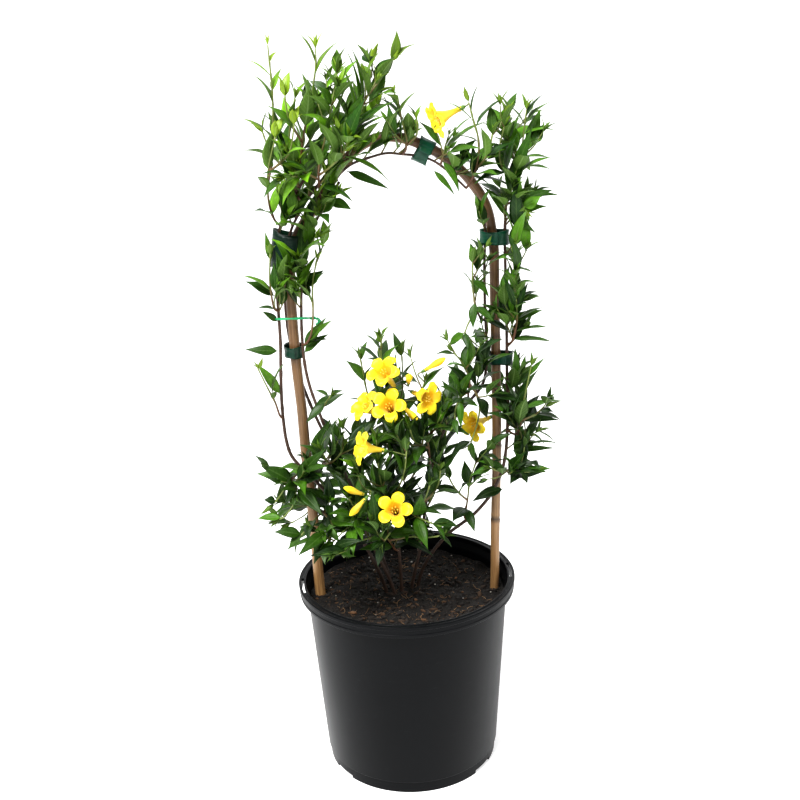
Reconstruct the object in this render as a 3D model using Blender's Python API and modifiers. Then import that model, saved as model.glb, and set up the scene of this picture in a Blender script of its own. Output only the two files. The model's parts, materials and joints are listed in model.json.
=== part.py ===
"""A potted yellow jessamine trained on a bent cane hoop.

Sizes below are millimetres, times MM for Blender's metres. +Z is up and the origin is the middle
of the pot's underside. The hoop stands in the plane y = 0, and its front looks towards -Y.
"""

import math
import random

import bmesh
import bpy
from mathutils import Matrix, Vector
from mathutils.bvhtree import BVHTree

MM = 0.001
CLEAR = 0.3

# The nursery pot
POT_HEIGHT = 180.0
RIM_RADIUS = 100.0
LIP_WIDTH = 6.6
SKIRT_HEIGHT = 10.6
WALL = 1.7
BODY_TOP_RADIUS = 92.5
BODY_FOOT_RADIUS = 81.2
FOOT_RADIUS = 79.4
FOOT_HEIGHT = 11.0
POT_SIDES = 32
SLOT_SIZE = (2.5, 9.8)
SLOT_RADIUS = 96.35
# Each hanger slot is cut in three steps that follow the rim, in degrees about the pot's axis
SLOT_TURNS = (1.5, 188.5)
SLOT_STEPS = (-5.6, 0.0, 5.6)
NOTCH_TURNS = (35, 125, 215, 325)
NOTCH_SIZE = (12.0, 24.0, 6.0)

# The soil
SOIL_TOP = 163.0
SOIL_MOUND = 4.0
SOIL_SIDES = 24
SOIL_RINGS = 3

# The cane hoop, from the foot of its left leg to the foot of its right leg
CANE_FOOT = 72.0
CANE_ROUTE = (
    (-74, 0, CANE_FOOT), (-77.5, 0, 120), (-81, 0, 165), (-82.5, 0, 220), (-84, 0, 262), (-86, 0, 302),
    (-87, 0, 344), (-89, 0, 382), (-90, 0, 430), (-89, 0, 470), (-82, 0, 497), (-66, 0, 521),
    (-48, 0, 547), (-28, 0, 568), (-6, 0, 577), (18, 0, 573), (46, 0, 558), (66, 0, 538),
    (79, 0, 515), (84, 0, 485), (84.5, 0, 440), (85, 0, 380), (85, 0, 300), (83, 0, 230),
    (81.5, 0, 165), (78.5, 0, 120), (76, 0, CANE_FOOT),
)
CANE_RADII = (4.8, 4.3, 4.0)
CANE_STEP = 22.0

# Woody stems, each from its hole in the soil or from the stem that it branches off.
# name: (stem it grows from or None, radius at the foot, radius at the tip, route)
STEMS = {
    "stem_left_front": (None, 1.7, 1.2, (
        (-17, -7, 118), (-19, -8, 166), (-34, -10, 210), (-56, -12, 252), (-80, -13, 284),
        (-98, -11, 306), (-103, -8, 335), (-103, -7, 370), (-101, -6, 410), (-101, -5, 445),
        (-100, -5, 478), (-94, -7, 508), (-84, -10, 530), (-70, -11, 548),
    )),
    "stem_left_inner": (None, 1.6, 1.1, (
        (-9, -13, 118), (-11, -14, 166), (-24, -17, 205), (-42, -18, 252), (-57, -17, 298),
        (-66, -14, 330), (-78, -8, 368), (-82, -6.5, 400), (-81, -7, 440), (-77, -7, 478),
        (-68, -7, 505), (-55, -9, 526), (-43, -9, 543),
    )),
    "stem_left_back": (None, 1.6, 1.1, (
        (-12, 0, 118), (-14, 0, 166), (-26, 2, 212), (-42, 4, 256), (-60, 6, 298), (-76, 9, 335),
        (-88, 11, 372), (-95, 10, 410), (-96, 9, 450), (-93, 9, 482), (-84, 9, 508),
        (-71, 10, 528), (-56, 10, 546), (-42, 10, 562),
    )),
    "stem_arch": ("stem_left_inner", 1.1, 0.9, (
        (-43, -8, 543), (-34, -9, 556), (-20, -10, 561), (-4, -8, 564.5), (10, -6.5, 563),
        (24, -6.2, 561), (37, -6.4, 555.5), (50, -8, 545), (61, -9, 534),
    )),
    "stem_centre": (None, 1.9, 1.1, (
        (-4, -7, 118), (-5, -8, 166), (-6, -9, 205), (-9, -12, 250), (-10, -13, 292), (-13, -12, 330),
    )),
    "stem_right_inner": (None, 1.6, 1.1, (
        (3, -3, 118), (4, -3, 166), (13, -2, 205), (20, 0, 250), (28, -2, 292), (38, -6, 322),
        (58, -10, 347), (73, -9, 366), (76.5, -7.5, 392), (75.5, -7.5, 430), (75.5, -7, 470),
        (76.5, -7, 497), (75, -8, 514),
    )),
    "stem_right_outer": (None, 1.7, 1.1, (
        (8, 4, 118), (10, 4, 166), (22, 3, 196), (42, -1, 222), (60, -6, 238), (78, -9, 260),
        (90, -9, 288), (94, -7, 325), (94, -6, 370), (94, -6, 415), (93.5, -6, 455),
        (93, -6, 490), (94, -6, 515), (97, -6, 536),
    )),
}
STEM_STEP = 18.0

# Tie bands: (middle, half width, half depth, height, lean in degrees about Y)
BANDS = {
    "tie_shoulder_right": ((84.5, -3.5, 492), 12.5, 10.4, 12.0, 0.0),
    "tie_arch": ((27.0, -2.0, 564.6), 10.4, 9.5, 13.0, 117.0),
    "tie_shoulder_left": ((-89.9, 0.0, 487.7), 14.1, 12.8, 30.0, 10.0),
    "tie_leg_left": ((-90.5, 4.0, 398), 8.8, 11.4, 10.0, 0.0),
    "tie_leg_right": ((89.2, -1.8, 386), 10.6, 8.7, 10.0, 0.0),
}
BAND_THICKNESS = 0.8
BAND_SIDES = 12
WIRE_MIDDLE = (-90, 1.0, 427)
WIRE_HALF = (16.5, 14.5)
# The loop dips to the back by this much for each millimetre
WIRE_DIP = 0.237
WIRE_RADIUS = 0.8
WIRE_SIDES = 18
WIRE_TAIL = ((-74.5, -2, 427), (-70, -6, 428.5), (-66, -7, 426), (-69, -9, 423))

# The onlooker that the places below are read from: each (x, y, z) is seen at (x, z) on the hoop's
# plane, and lies y behind it along that line of sight.
EYE = (0, -934, 648)

# Open flowers: (shoot that carries it, base of its tube, middle of its mouth)
BLOOMS = {
    "bloom_arch": ("shoot_arch_right", (60, -20, 598), (36, -28, 588)),
    "bloom_upper": ("shoot_centre_top", (-4, -22, 362), (-15, -40, 379)),
    "bloom_middle": ("shoot_centre_top", (-7, -26, 338), (-11, -50, 346)),
    "bloom_middle_left": ("shoot_centre_top", (-16, -14, 334), (-34, -24, 348)),
    "bloom_middle_right": ("shoot_centre_right", (11, -24, 357), (27, -42, 349)),
    "bloom_left": ("shoot_centre_front", (-15, -50, 303), (-38, -58, 307)),
    "bloom_front": ("shoot_centre_front", (-7, -58, 241), (-9, -82, 246)),
    "bloom_right": ("shoot_right_outer", (80, 12, 331), (62, -4, 323)),
}
BLOOM_WIDTH = 31.0
# Closed buds: (shoot, base, tip)
BUDS = {
    "bud_top": ("shoot_centre_top", (8, -26, 365), (9, -42, 373)),
    "bud_top_right": ("shoot_centre_right", (22, -26, 376), (41, -32, 387)),
    "bud_middle": ("shoot_centre_right", (2, -34, 344), (15, -42, 331)),
    "bud_left_high": ("shoot_centre_front", (-35, -60, 261), (-54, -66, 269)),
    "bud_left_low": ("shoot_centre_front", (-34, -66, 258), (-50, -72, 241)),
}

# Leafy shoots: (stem it grows from, leaf length, spread in degrees, droop, routes, leaves placed singly)
# The first route leaves the stem and the others branch off it. A single leaf is
# ((x, z) where it leaves its twig, (x, y, z) of its tip, width).
SHOOTS = {
    "shoot_crown_left": ("stem_left_front", 29, 46, 0.0, (
        ((-94, -7, 508), (-103, -20, 526), (-102, -26, 552), (-94, -28, 580)),
        ((-103, -24, 540), (-97, -16, 570), (-94, -13, 612), (-95, -12, 652)),
        ((-102, -26, 552), (-84, -34, 566), (-78, -36, 590)),
    ), (
        ((-94, 606), (-107, -16, 630), 8.5), ((-94, 606), (-88, -10, 633), 8.0),
        ((-95, 628), (-112, -14, 642), 4.0), ((-95, 630), (-90, -10, 651), 5.0),
        ((-101, 538), (-106, -40, 556), 8.0),
    )),
    "shoot_crown_peak": ("stem_left_front", 35, 34, 0.15, (
        ((-72, -10, 545), (-72, -20, 575), (-64, -20, 606), (-58, -16, 632), (-57, -14, 648)),
        ((-72, -20, 575), (-82, -26, 594), (-84, -26, 612)),
    ), (
        ((-57, 645), (-60, -16, 671), 9.5), ((-58, 636), (-68, -14, 661), 4.5),
        ((-56, 622), (-43, -18, 660), 10.5), ((-64, 602), (-69, -30, 630), 8.0),
        ((-62, 600), (-42, -30, 634), 8.5),
    )),
    "shoot_crown_mid": ("stem_left_inner", 34, 34, 0.1, (
        ((-57, -9, 524), (-60, -24, 552), (-52, -32, 582), (-46, -30, 606), (-41, -24, 628)),
        ((-60, -22, 548), (-48, -34, 556), (-38, -38, 566)),
        ((-60, -20, 545), (-76, -34, 552), (-88, -40, 548)),
    ), (
        ((-57, 540), (-33, -24, 526), 9.0), ((-40, 563), (0, -36, 540), 7.0),
        ((-50, 562), (-38, -52, 572), 11.0),
    )),
    "shoot_crown_right": ("stem_arch", 33, 36, 0.1, (
        ((-34, -9, 556), (-34, -22, 576), (-26, -24, 594), (-19, -20, 608), (-19, -16, 624)),
        ((-19, -20, 608), (-8, -18, 620), (4, -16, 636)),
    ), (
        ((-19, 612), (-8, -18, 650), 8.5), ((-19, 612), (-22, -18, 650), 6.0),
        ((-20, 606), (-32, -20, 647), 5.0), ((-24, 600), (-37, -26, 636), 8.0),
        ((-32, 584), (1, -26, 619), 9.0), ((-34, 574), (-6, -30, 598), 9.0),
    )),
    "shoot_crown_back": ("stem_left_back", 32, 44, 0.05, (
        ((-74, 10, 524), (-84, 24, 552), (-82, 30, 584), (-76, 28, 610)),
        ((-83, 24, 556), (-66, 32, 576), (-54, 30, 598), (-46, 26, 620)),
        ((-84, 24, 552), (-98, 34, 566), (-104, 36, 584)),
        ((-70, 30, 572), (-44, 36, 574), (-26, 34, 588)),
    ), ()),
    "shoot_leg_left_high": ("stem_left_front", 26, 60, 0.0, (
        ((-101, -5, 435), (-106, -12, 443), (-107, -15, 461), (-105, -15, 484)),
    ), (
        ((-106, 452), (-129, -20, 467), 9.0), ((-106, 428), (-119, -16, 438), 6.0),
        ((-105, 480), (-107, -20, 505), 5.5),
    )),
    "shoot_leg_left_inner": ("stem_left_inner", 24, 50, 0.0, (
        ((-82, -7, 404), (-75, -20, 412), (-72, -24, 430), (-71, -22, 455), (-66, -20, 478)),
    ), (
        ((-74, 404), (-62, -26, 431), 8.5), ((-74, 400), (-61, -22, 417), 6.5),
        ((-71, 455), (-62, -22, 469), 10.0), ((-67, 474), (-57, -22, 492), 3.6),
        ((-72, 440), (-88, -34, 462), 9.0),
    )),
    "shoot_leg_left_twig": ("stem_left_front", 15, 35, 0.1, (
        ((-103, -8, 338), (-110, -18, 352), (-116, -22, 366), (-123, -24, 384)),
    ), (
        ((-108, 345), (-124, -28, 396), 10.0), ((-106, 348), (-112, -28, 366), 5.5),
        ((-112, 358), (-100, -30, 388), 8.5),
    )),
    "shoot_leg_left_low": ("stem_left_inner", 24, 45, 0.0, (
        ((-70, -12, 343), (-66, -22, 350), (-61, -26, 356)),
    ), (
        ((-62, 355), (-50, -28, 361), 7.0), ((-66, 350), (-84, -30, 332), 8.0),
        ((-63, 353), (-74, -30, 362), 6.0),
    )),
    "shoot_left_top": ("stem_left_inner", 38, 42, 0.0, (
        ((-56, -17, 292), (-66, -32, 292), (-72, -38, 306)),
        ((-66, -32, 292), (-56, -40, 300), (-52, -42, 308)),
    ), (
        ((-70, 298), (-57, -44, 335), 14.0), ((-54, 300), (-58, -52, 335), 8.0),
        ((-68, 294), (-92, -44, 312), 9.0), ((-56, 300), (-38, -48, 288), 9.0),
    )),
    "shoot_left_outer": ("stem_left_front", 33, 50, -0.1, (
        ((-88, -12, 290), (-100, -26, 280), (-108, -34, 268), (-118, -36, 256)),
        ((-100, -26, 280), (-98, -42, 262), (-104, -52, 248), (-114, -52, 240)),
    ), (
        ((-97, 276), (-127, -36, 293), 12.0), ((-113, 242), (-134, -50, 242), 8.0),
        ((-114, 256), (-127, -38, 260), 7.0),
    )),
    "shoot_left_drop": ("stem_left_front", 31, 55, -0.2, (
        ((-60, -12, 257), (-74, -34, 246), (-86, -46, 234), (-98, -50, 220)),
        ((-74, -34, 246), (-66, -52, 230), (-72, -58, 214)),
    ), (
        ((-98, 220), (-110, -52, 203), 7.0), ((-94, 224), (-120, -54, 228), 9.0),
        ((-90, 229), (-108, -58, 210), 8.0),
    )),
    "shoot_left_low": ("stem_left_inner", 32, 50, -0.15, (
        ((-33, -17, 229), (-46, -40, 232), (-56, -54, 226), (-66, -60, 216)),
        ((-46, -40, 232), (-44, -56, 246), (-50, -62, 258)),
    ), ()),
    "shoot_left_back": ("stem_left_back", 33, 52, 0.0, (
        ((-58, 6, 294), (-72, 24, 292), (-84, 32, 284), (-98, 36, 276)),
        ((-72, 24, 292), (-62, 34, 306), (-60, 38, 320)),
        ((-76, 28, 290), (-78, 38, 262), (-90, 42, 244), (-104, 42, 236)),
    ), ()),
    "shoot_centre_top": ("stem_centre", 31, 42, 0.0, (
        ((-12, -13, 320), (-16, -10, 352), (-15, -14, 378), (-15, -14, 402)),
        ((-14, -11, 334), (-27, 4, 352), (-31, 2, 374), (-33, 0, 388)),
        ((-13, -12, 330), (0, -4, 350), (3, -4, 372), (3, -6, 390)),
    ), (
        ((-15, 396), (-14, -20, 421), 9.0), ((-15, 396), (-27, -16, 411), 5.0),
        ((3, 386), (3, -12, 406), 10.0), ((3, 368), (16, -14, 386), 10.0),
        ((3, 362), (-9, -12, 388), 9.0), ((-31, 374), (-35, 0, 401), 9.0),
    )),
    "shoot_centre_front": ("stem_centre", 32, 48, -0.05, (
        ((-9, -12, 240), (-15, -36, 256), (-20, -50, 272), (-22, -54, 292)),
        ((-15, -36, 256), (-28, -50, 260), (-38, -56, 272), (-42, -56, 288)),
        ((-14, -34, 254), (-4, -50, 268), (2, -54, 284), (4, -54, 302)),
    ), (
        ((-42, 286), (-52, -60, 312), 9.0),
    )),
    "shoot_centre_right": ("stem_right_inner", 32, 46, 0.0, (
        ((26, -2, 285), (24, -20, 304), (20, -26, 326), (18, -24, 348), (22, -22, 366)),
        ((22, -23, 315), (36, -30, 328), (40, -32, 344)),
        ((24, -20, 304), (12, -38, 310), (8, -44, 322)),
    ), (
        ((20, 358), (39, -24, 383), 9.5), ((21, 364), (30, -18, 392), 6.0),
    )),
    "shoot_centre_front_right": ("stem_centre", 32, 50, -0.1, (
        ((-8, -11, 232), (6, -34, 242), (18, -46, 252), (24, -50, 268)),
        ((6, -34, 242), (14, -52, 236), (26, -58, 230)),
        ((16, -44, 250), (30, -44, 264), (34, -46, 282)),
    ), ()),
    "shoot_centre_low": ("stem_centre", 30, 55, -0.2, (
        ((-6, -9, 206), (-18, -34, 218), (-32, -48, 218), (-46, -56, 214)),
        ((-18, -34, 218), (-14, -56, 222), (-20, -66, 214)),
        ((-14, -28, 216), (6, -42, 218), (20, -50, 216), (32, -54, 218)),
    ), ()),
    "shoot_centre_back": ("stem_right_inner", 33, 48, 0.0, (
        ((12, -2, 202), (10, 26, 232), (2, 42, 268), (-6, 48, 304), (-10, 46, 332)),
        ((10, 26, 232), (26, 38, 256), (34, 42, 286), (40, 40, 318), (46, 34, 346)),
        ((2, 42, 268), (16, 52, 290), (20, 52, 318)),
    ), ()),
    "shoot_centre_back_left": ("stem_left_back", 33, 50, 0.0, (
        ((-24, 2, 208), (-34, 22, 228), (-42, 38, 254), (-44, 44, 286), (-38, 42, 314)),
        ((-34, 22, 228), (-52, 34, 226), (-68, 38, 232)),
        ((-40, 32, 246), (-24, 44, 262), (-20, 46, 286)),
    ), ()),
    "shoot_right_low": ("stem_right_outer", 24, 52, -0.05, (
        ((56, -5, 234), (58, -18, 252), (60, -22, 270), (66, -24, 288)),
        ((58, -18, 252), (48, -26, 262), (42, -28, 274)),
    ), (
        ((58, 244), (44, -36, 232), 12.0), ((58, 246), (64, -30, 220), 8.0),
    )),
    "shoot_right_inner": ("stem_right_inner", 28, 50, 0.0, (
        ((60, -9, 349), (62, -20, 362), (58, -26, 378), (48, -28, 392)),
        ((62, -20, 362), (70, -26, 346), (68, -32, 326), (62, -34, 308)),
        ((61, -16, 356), (50, -28, 346), (48, -34, 330)),
    ), (
        ((50, 390), (32, -30, 391), 6.0), ((50, 390), (42, -30, 403), 6.0),
    )),
    "shoot_right_outer": ("stem_right_outer", 32, 50, 0.0, (
        ((94, -7, 318), (104, -18, 314), (108, -24, 336), (112, -24, 358), (116, -22, 376)),
        ((104, -18, 314), (104, 4, 322), (106, 18, 342), (106, 22, 366)),
        ((107, -22, 326), (120, -22, 332), (128, -20, 338)),
    ), (
        ((112, 336), (143, -22, 345), 7.0), ((120, 332), (143, -26, 326), 8.5),
        ((113, 362), (125, -22, 384), 6.0),
    )),
    "shoot_right_drop": ("stem_right_outer", 33, 55, -0.1, (
        ((88, -9, 281), (100, -18, 284), (106, -24, 294), (110, -24, 306)),
        ((100, -18, 284), (92, -34, 278), (80, -40, 282)),
        ((100, -18, 284), (108, -30, 278), (118, -32, 278)),
    ), (
        ((112, 277), (129, -32, 277), 9.0), ((110, 302), (141, -24, 304), 4.5),
        ((106, 282), (114, -36, 268), 9.0), ((88, 279), (66, -44, 282), 9.0),
    )),
    "shoot_leg_right_outer": ("stem_right_outer", 27, 62, -0.08, (
        ((94, -6, 398), (101, -14, 404), (104, -16, 424), (102, -16, 450), (101, -14, 476)),
    ), (
        ((104, 418), (126, -20, 429), 7.0), ((103, 408), (131, -20, 412), 6.0),
        ((102, 400), (134, -18, 399), 7.5), ((103, 436), (121, -20, 443), 7.5),
        ((102, 450), (121, -18, 451), 4.0), ((102, 464), (118, -18, 460), 4.5),
        ((101, 472), (114, -20, 485), 5.5),
    )),
    "shoot_leg_right_inner": ("stem_right_inner", 25, 50, 0.05, (
        ((76, -8, 420), (69, -18, 428), (66, -22, 448), (66, -20, 470)),
        ((69, -18, 428), (62, -24, 418), (58, -26, 408)),
    ), (
        ((66, 462), (61, -24, 497), 5.0), ((66, 446), (60, -26, 462), 7.0),
        ((68, 436), (64, -26, 411), 7.0), ((66, 456), (80, -34, 440), 8.5),
        ((68, 432), (84, -34, 418), 8.0),
    )),
    "shoot_arch_right": ("stem_arch", 31, 42, 0.05, (
        ((66, -9, 530), (70, -20, 548), (73, -22, 568), (69, -22, 586), (65, -20, 602)),
        ((70, -20, 548), (80, -26, 560), (84, -26, 576)),
    ), (
        ((70, 582), (94, -24, 605), 8.5), ((67, 594), (62, -22, 614), 6.0),
        ((67, 594), (73, -22, 616), 4.0), ((69, 586), (50, -26, 605), 5.0),
        ((72, 562), (54, -30, 548), 7.5), ((72, 570), (56, -26, 576), 4.0),
    )),
    "shoot_shoulder_right": ("stem_right_outer", 33, 48, -0.05, (
        ((95, -6, 519), (104, -9, 535), (108, -10, 562), (112, -10, 594)),
        ((103, -9, 540), (92, -18, 548), (90, -22, 566), (94, -22, 582)),
        ((103, -9, 540), (104, -18, 524), (110, -22, 514)),
        ((106, -10, 552), (102, 10, 560), (100, 22, 576), (98, 26, 592)),
    ), (
        ((112, 588), (125, -10, 606), 6.0), ((111, 582), (131, -12, 600), 7.5),
        ((109, 575), (136, -14, 578), 8.0), ((107, 556), (133, -14, 555), 7.0),
        ((106, 548), (133, -16, 546), 7.0), ((108, 520), (134, -18, 529), 7.0),
        ((110, 516), (124, -24, 524), 9.0), ((108, 517), (118, -26, 494), 7.0),
        ((109, 582), (96, -12, 600), 6.0),
    )),
    "shoot_arch_left": ("stem_arch", 22, 40, 0.05, (
        ((10, -8, 560), (14, -18, 570), (11, -20, 586), (8, -20, 600)),
        ((14, -18, 570), (22, -20, 578), (22, -20, 590)),
    ), (
        ((8, 596), (22, -20, 612), 7.0), ((9, 590), (-3, -20, 612), 7.5),
        ((8, 598), (8, -22, 618), 4.0),
    )),
    "shoot_arch_middle": ("stem_arch", 24, 45, 0.0, (
        ((40, -7, 552), (44, -18, 564), (48, -20, 576)),
    ), (
        ((43, 560), (57, -26, 583), 7.5), ((44, 566), (66, -26, 584), 7.0),
        ((42, 556), (56, -22, 530), 6.5),
    )),
}
TWIG_STEP = 6.0
TWIG_ROOM = 0.25
TWIG_RADII = (1.1, 0.8)
FIRST_LEAF = 13.0
INTERNODE = 27.0
JOINT_HALF = 0.8
BEND_STRAY = 0.4
JOINT_REACH = 4.0
JOINT_SHIFTS = (0, -4.5, 4.5, -9, 9)
LEAF_SLENDERNESS = 0.32
LEAF_ARCH = 0.06
LEAF_FOLD = 0.28
LEAF_THICKNESS = 1.1
LEAF_ROOM = 0.45
# The share of the way to a leaf's widest place past which it stands clear of its own twig too
PAST_ROOT = 0.55
# How far along the blade, the share of its full half width there
LEAF_OUTLINE = ((0.36, 1.0), (0.72, 0.68))
SHORT_LEAF = 24.0
SHORT_OUTLINE = ((0.48, 1.0),)
# Nothing hangs in the gap of the hoop
WINDOW = ((-47, -25, 432), (54, 25, 514))


def mm(place):
    return Vector(place) * MM


def seen(place):
    """The point y behind the hoop's plane that the onlooker sees at (x, z) on that plane."""
    x, y, z = place
    eye = mm(EYE)
    return eye + (mm((x, 0, z)) - eye) * ((y * MM - eye.y) / -eye.y)


def view_of(point):
    """Where the onlooker sees a point on the hoop's plane."""
    eye = mm(EYE)
    hit = eye + (point - eye) * (-eye.y / (point.y - eye.y))
    return Vector((hit.x, hit.z))


def smooth(points, step):
    """Points about a step apart on a smooth curve through the given ones."""
    ends = [points[0] * 2 - points[1], *points, points[-1] * 2 - points[-2]]
    route = [points[0].copy()]
    for a, b, c, d in zip(ends, ends[1:], ends[2:], ends[3:]):
        count = max(1, round((c - b).length / (step * MM)))
        for k in range(1, count + 1):
            t = k / count
            route.append((b * 2 + (c - a) * t + (a * 2 - b * 5 + c * 4 - d) * t**2
                          + (b * 3 - a - c * 3 + d) * t**3) * 0.5)
    return route


def taper(route, first, last):
    return [(first + (last - first) * k / (len(route) - 1)) * MM for k in range(len(route))]


def along(route, distance):
    """The place and direction that far along a route, and past its end the end itself."""
    for a, b in zip(route, route[1:]):
        run = (b - a).length
        if distance <= run:
            return a.lerp(b, distance / run), (b - a).normalized()
        distance -= run
    return route[-1].copy(), (route[-1] - route[-2]).normalized()


def route_length(route):
    return sum((b - a).length for a, b in zip(route, route[1:]))


def nearest(route, point):
    """The point of a route nearest to another, the direction there and how far along it is, from 0 to 1."""
    best = None
    for k, (a, b) in enumerate(zip(route, route[1:])):
        run = b - a
        share = min(1.0, max(0.0, (point - a).dot(run) / run.length_squared))
        foot = a + run * share
        if best is None or (point - foot).length < best[0]:
            best = ((point - foot).length, foot, run.normalized(), (k + share) / (len(route) - 1))
    return best[1:]


def pipe(route, radii, sides=8):
    """The points and triangles of a closed round tube, for keeping pieces clear of each other."""
    points, faces = [], []
    tangent = (route[1] - route[0]).normalized()
    normal = tangent.orthogonal().normalized()
    for k, place in enumerate(route):
        before, after = route[max(0, k - 1)], route[min(len(route) - 1, k + 1)]
        tangent = (after - before).normalized()
        normal = (normal - tangent * normal.dot(tangent)).normalized()
        other = tangent.cross(normal)
        for side in range(sides):
            turn = math.tau * side / sides
            points.append(place + (normal * math.cos(turn) + other * math.sin(turn)) * radii[k])
    for k in range(len(route) - 1):
        for side in range(sides):
            a, b = k * sides + side, k * sides + (side + 1) % sides
            faces += [(a, b, b + sides), (a, b + sides, a + sides)]
    last = (len(route) - 1) * sides
    for side in range(1, sides - 1):
        faces += [(0, side + 1, side), (last, last + side, last + side + 1)]
    return points, faces


def blade_sections(base, tip, up, width, grow=0.0):
    """The folded cross-sections of a leaf, each left edge, ridge, right edge and keel, and its point."""
    run = tip - base
    axis = run.normalized()
    across = axis.cross(up).normalized()
    face = across.cross(axis)
    sections = []
    for share, full in (LEAF_OUTLINE if run.length > SHORT_LEAF * MM else SHORT_OUTLINE):
        middle = base + run * share + face * (LEAF_ARCH * run.length * 4 * share * (1 - share))
        half = full * width / 2 + grow
        thick = LEAF_THICKNESS / 2 * MM + grow
        edge = face * (half * LEAF_FOLD)
        sections.append([middle - across * half + edge, middle + face * thick,
                         middle + across * half + edge, middle - face * thick])
    root = [base - across * 0.7 * MM, base + face * 0.5 * MM, base + across * 0.7 * MM,
            base - face * 0.5 * MM]
    return root, sections, tip + axis * grow


def leaf_skin(rings, end):
    """The triangles round a leaf's cross-sections, split alike on both faces, up to its point."""
    faces = []
    for a, b in zip(rings, rings[1:]):
        for ridge, edge in ((1, 0), (3, 2)):
            faces += [(a[ridge], b[edge], a[edge]), (a[ridge], b[ridge], b[edge])]
        for ridge, edge in ((1, 2), (3, 0)):
            faces += [(a[ridge], a[edge], b[edge]), (a[ridge], b[edge], b[ridge])]
    a = rings[-1]
    return faces + [(a[0], a[1], end), (a[1], a[2], end), (a[2], a[3], end), (a[3], a[0], end)]


def blade(base, tip, up, width, grow=0.0, start=0.0):
    """The points and triangles of one leaf, or of what lies past its root, for keeping it clear."""
    root, sections, end = blade_sections(base, tip, up, width, grow)
    first = [a.lerp(b, start) for a, b in zip(root, sections[0])]
    points = [p for ring in [first, *sections] for p in ring] + [end]
    rings = [range(k, k + 4) for k in range(0, len(points) - 1, 4)]
    return points, leaf_skin(rings, len(points) - 1) + [(0, 2, 1), (0, 3, 2)]


class Room:
    """What is placed so far, so that the next piece can be kept clear of it."""

    def __init__(self):
        self.things = []

    def add(self, owner, shape):
        points, faces = shape
        low = [min(p[k] for p in points) for k in range(3)]
        high = [max(p[k] for p in points) for k in range(3)]
        self.things.append((owner, low, high, BVHTree.FromPolygons(points, faces)))

    def meets(self, shape, skip):
        """The owner of the first thing that a shape crosses, or None."""
        points, faces = shape
        low = [min(p[k] for p in points) for k in range(3)]
        high = [max(p[k] for p in points) for k in range(3)]
        tree = None
        for owner, floor, ceiling, other in self.things:
            if owner in skip or any(low[k] > ceiling[k] or high[k] < floor[k] for k in range(3)):
                continue
            tree = tree or BVHTree.FromPolygons(points, faces)
            if tree.overlap(other):
                return owner
        return None


def cane():
    """The hoop's centre line and its radius at each point."""
    route = smooth([mm(p) for p in CANE_ROUTE], CANE_STEP)
    half = len(route) // 2
    left, top, right = CANE_RADII
    radii = taper(route[:half + 1], left, top)[:-1] + taper(route[half:], top, right)
    return route, radii


def stem_routes():
    """Each woody stem's centre line and radii, a branching one starting clear of what carries it."""
    stems = {}
    for name, (parent, foot, tip, places) in STEMS.items():
        points = [mm(p) for p in places]
        if parent:
            carrier, carrier_radii = stems[parent]
            points[0], bend = leave(carrier, carrier_radii, points[0], points[1])
            points.insert(1, bend)
        route = smooth(points, STEM_STEP)
        stems[name] = (route, taper(route, foot, tip))
    return stems


def leave(carrier, radii, place, toward):
    """Where a shoot that grows from a stem begins, just clear of its bark, and its first bend."""
    foot, direction, share = nearest(carrier, place)
    radius = radii[round(share * (len(radii) - 1))]
    out = toward - foot
    out = (out - direction * out.dot(direction)).normalized()
    return foot + out * (radius + (CLEAR + 0.1) * MM), foot + out * (radius + 3.0 * MM)


def bloom_shape(base, mouth, grow=0.0):
    """A funnel round a whole flower, for keeping other pieces clear of it."""
    axis = (mouth - base).normalized()
    reach = (mouth - base).length
    route = [base + axis * (reach * share) for share in (-0.02, 0.35, 0.68, 0.98, 1.06)]
    radii = [1.9 * MM, 2.3 * MM, 5.2 * MM, BLOOM_WIDTH * 0.5 * MM, BLOOM_WIDTH * 0.5 * MM]
    return pipe(route, [r + grow for r in radii], 10)


def bud_route(base, tip):
    """The centre line and radii of a closed bud, fullest two thirds of the way up."""
    shares = (0.0, 0.3, 0.66, 0.88, 1.0)
    radii = (1.3, 1.6, 3.0, 2.1, 0.5)
    return [base.lerp(tip, share) for share in shares], [r * MM for r in radii]


def band_route(name):
    """The axis of a tie band, from its lower to its upper edge, and the turn of its oval."""
    middle, _, _, height, lean = BANDS[name]
    turn = Matrix.Rotation(math.radians(lean), 3, "Y")
    rise = turn @ Vector((0, 0, height * MM / 2))
    return mm(middle) - rise, mm(middle) + rise, turn


def band_shape(name):
    """The filled outside of a tie band, for keeping leaves clear of it."""
    low, high, turn = band_route(name)
    _, wide, deep, _, _ = BANDS[name]
    points, faces = pipe([low, high], [1.0, 1.0], 12)
    for k, end in enumerate((low, high)):
        for side in range(12):
            angle = math.tau * side / 12
            offset = Vector((math.cos(angle) * wide, math.sin(angle) * deep, 0)) * 1.05 * MM
            points[k * 12 + side] = end + turn @ offset
    return points, faces


def box_shape(low, high):
    low, high = mm(low), mm(high)
    points = [Vector((x, y, z)) for z in (low.z, high.z) for y in (low.y, high.y)
              for x in (low.x, high.x)]
    quads = ((0, 1, 3, 2), (4, 6, 7, 5), (0, 4, 5, 1), (2, 3, 7, 6), (0, 2, 6, 4), (1, 5, 7, 3))
    return points, quads


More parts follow.
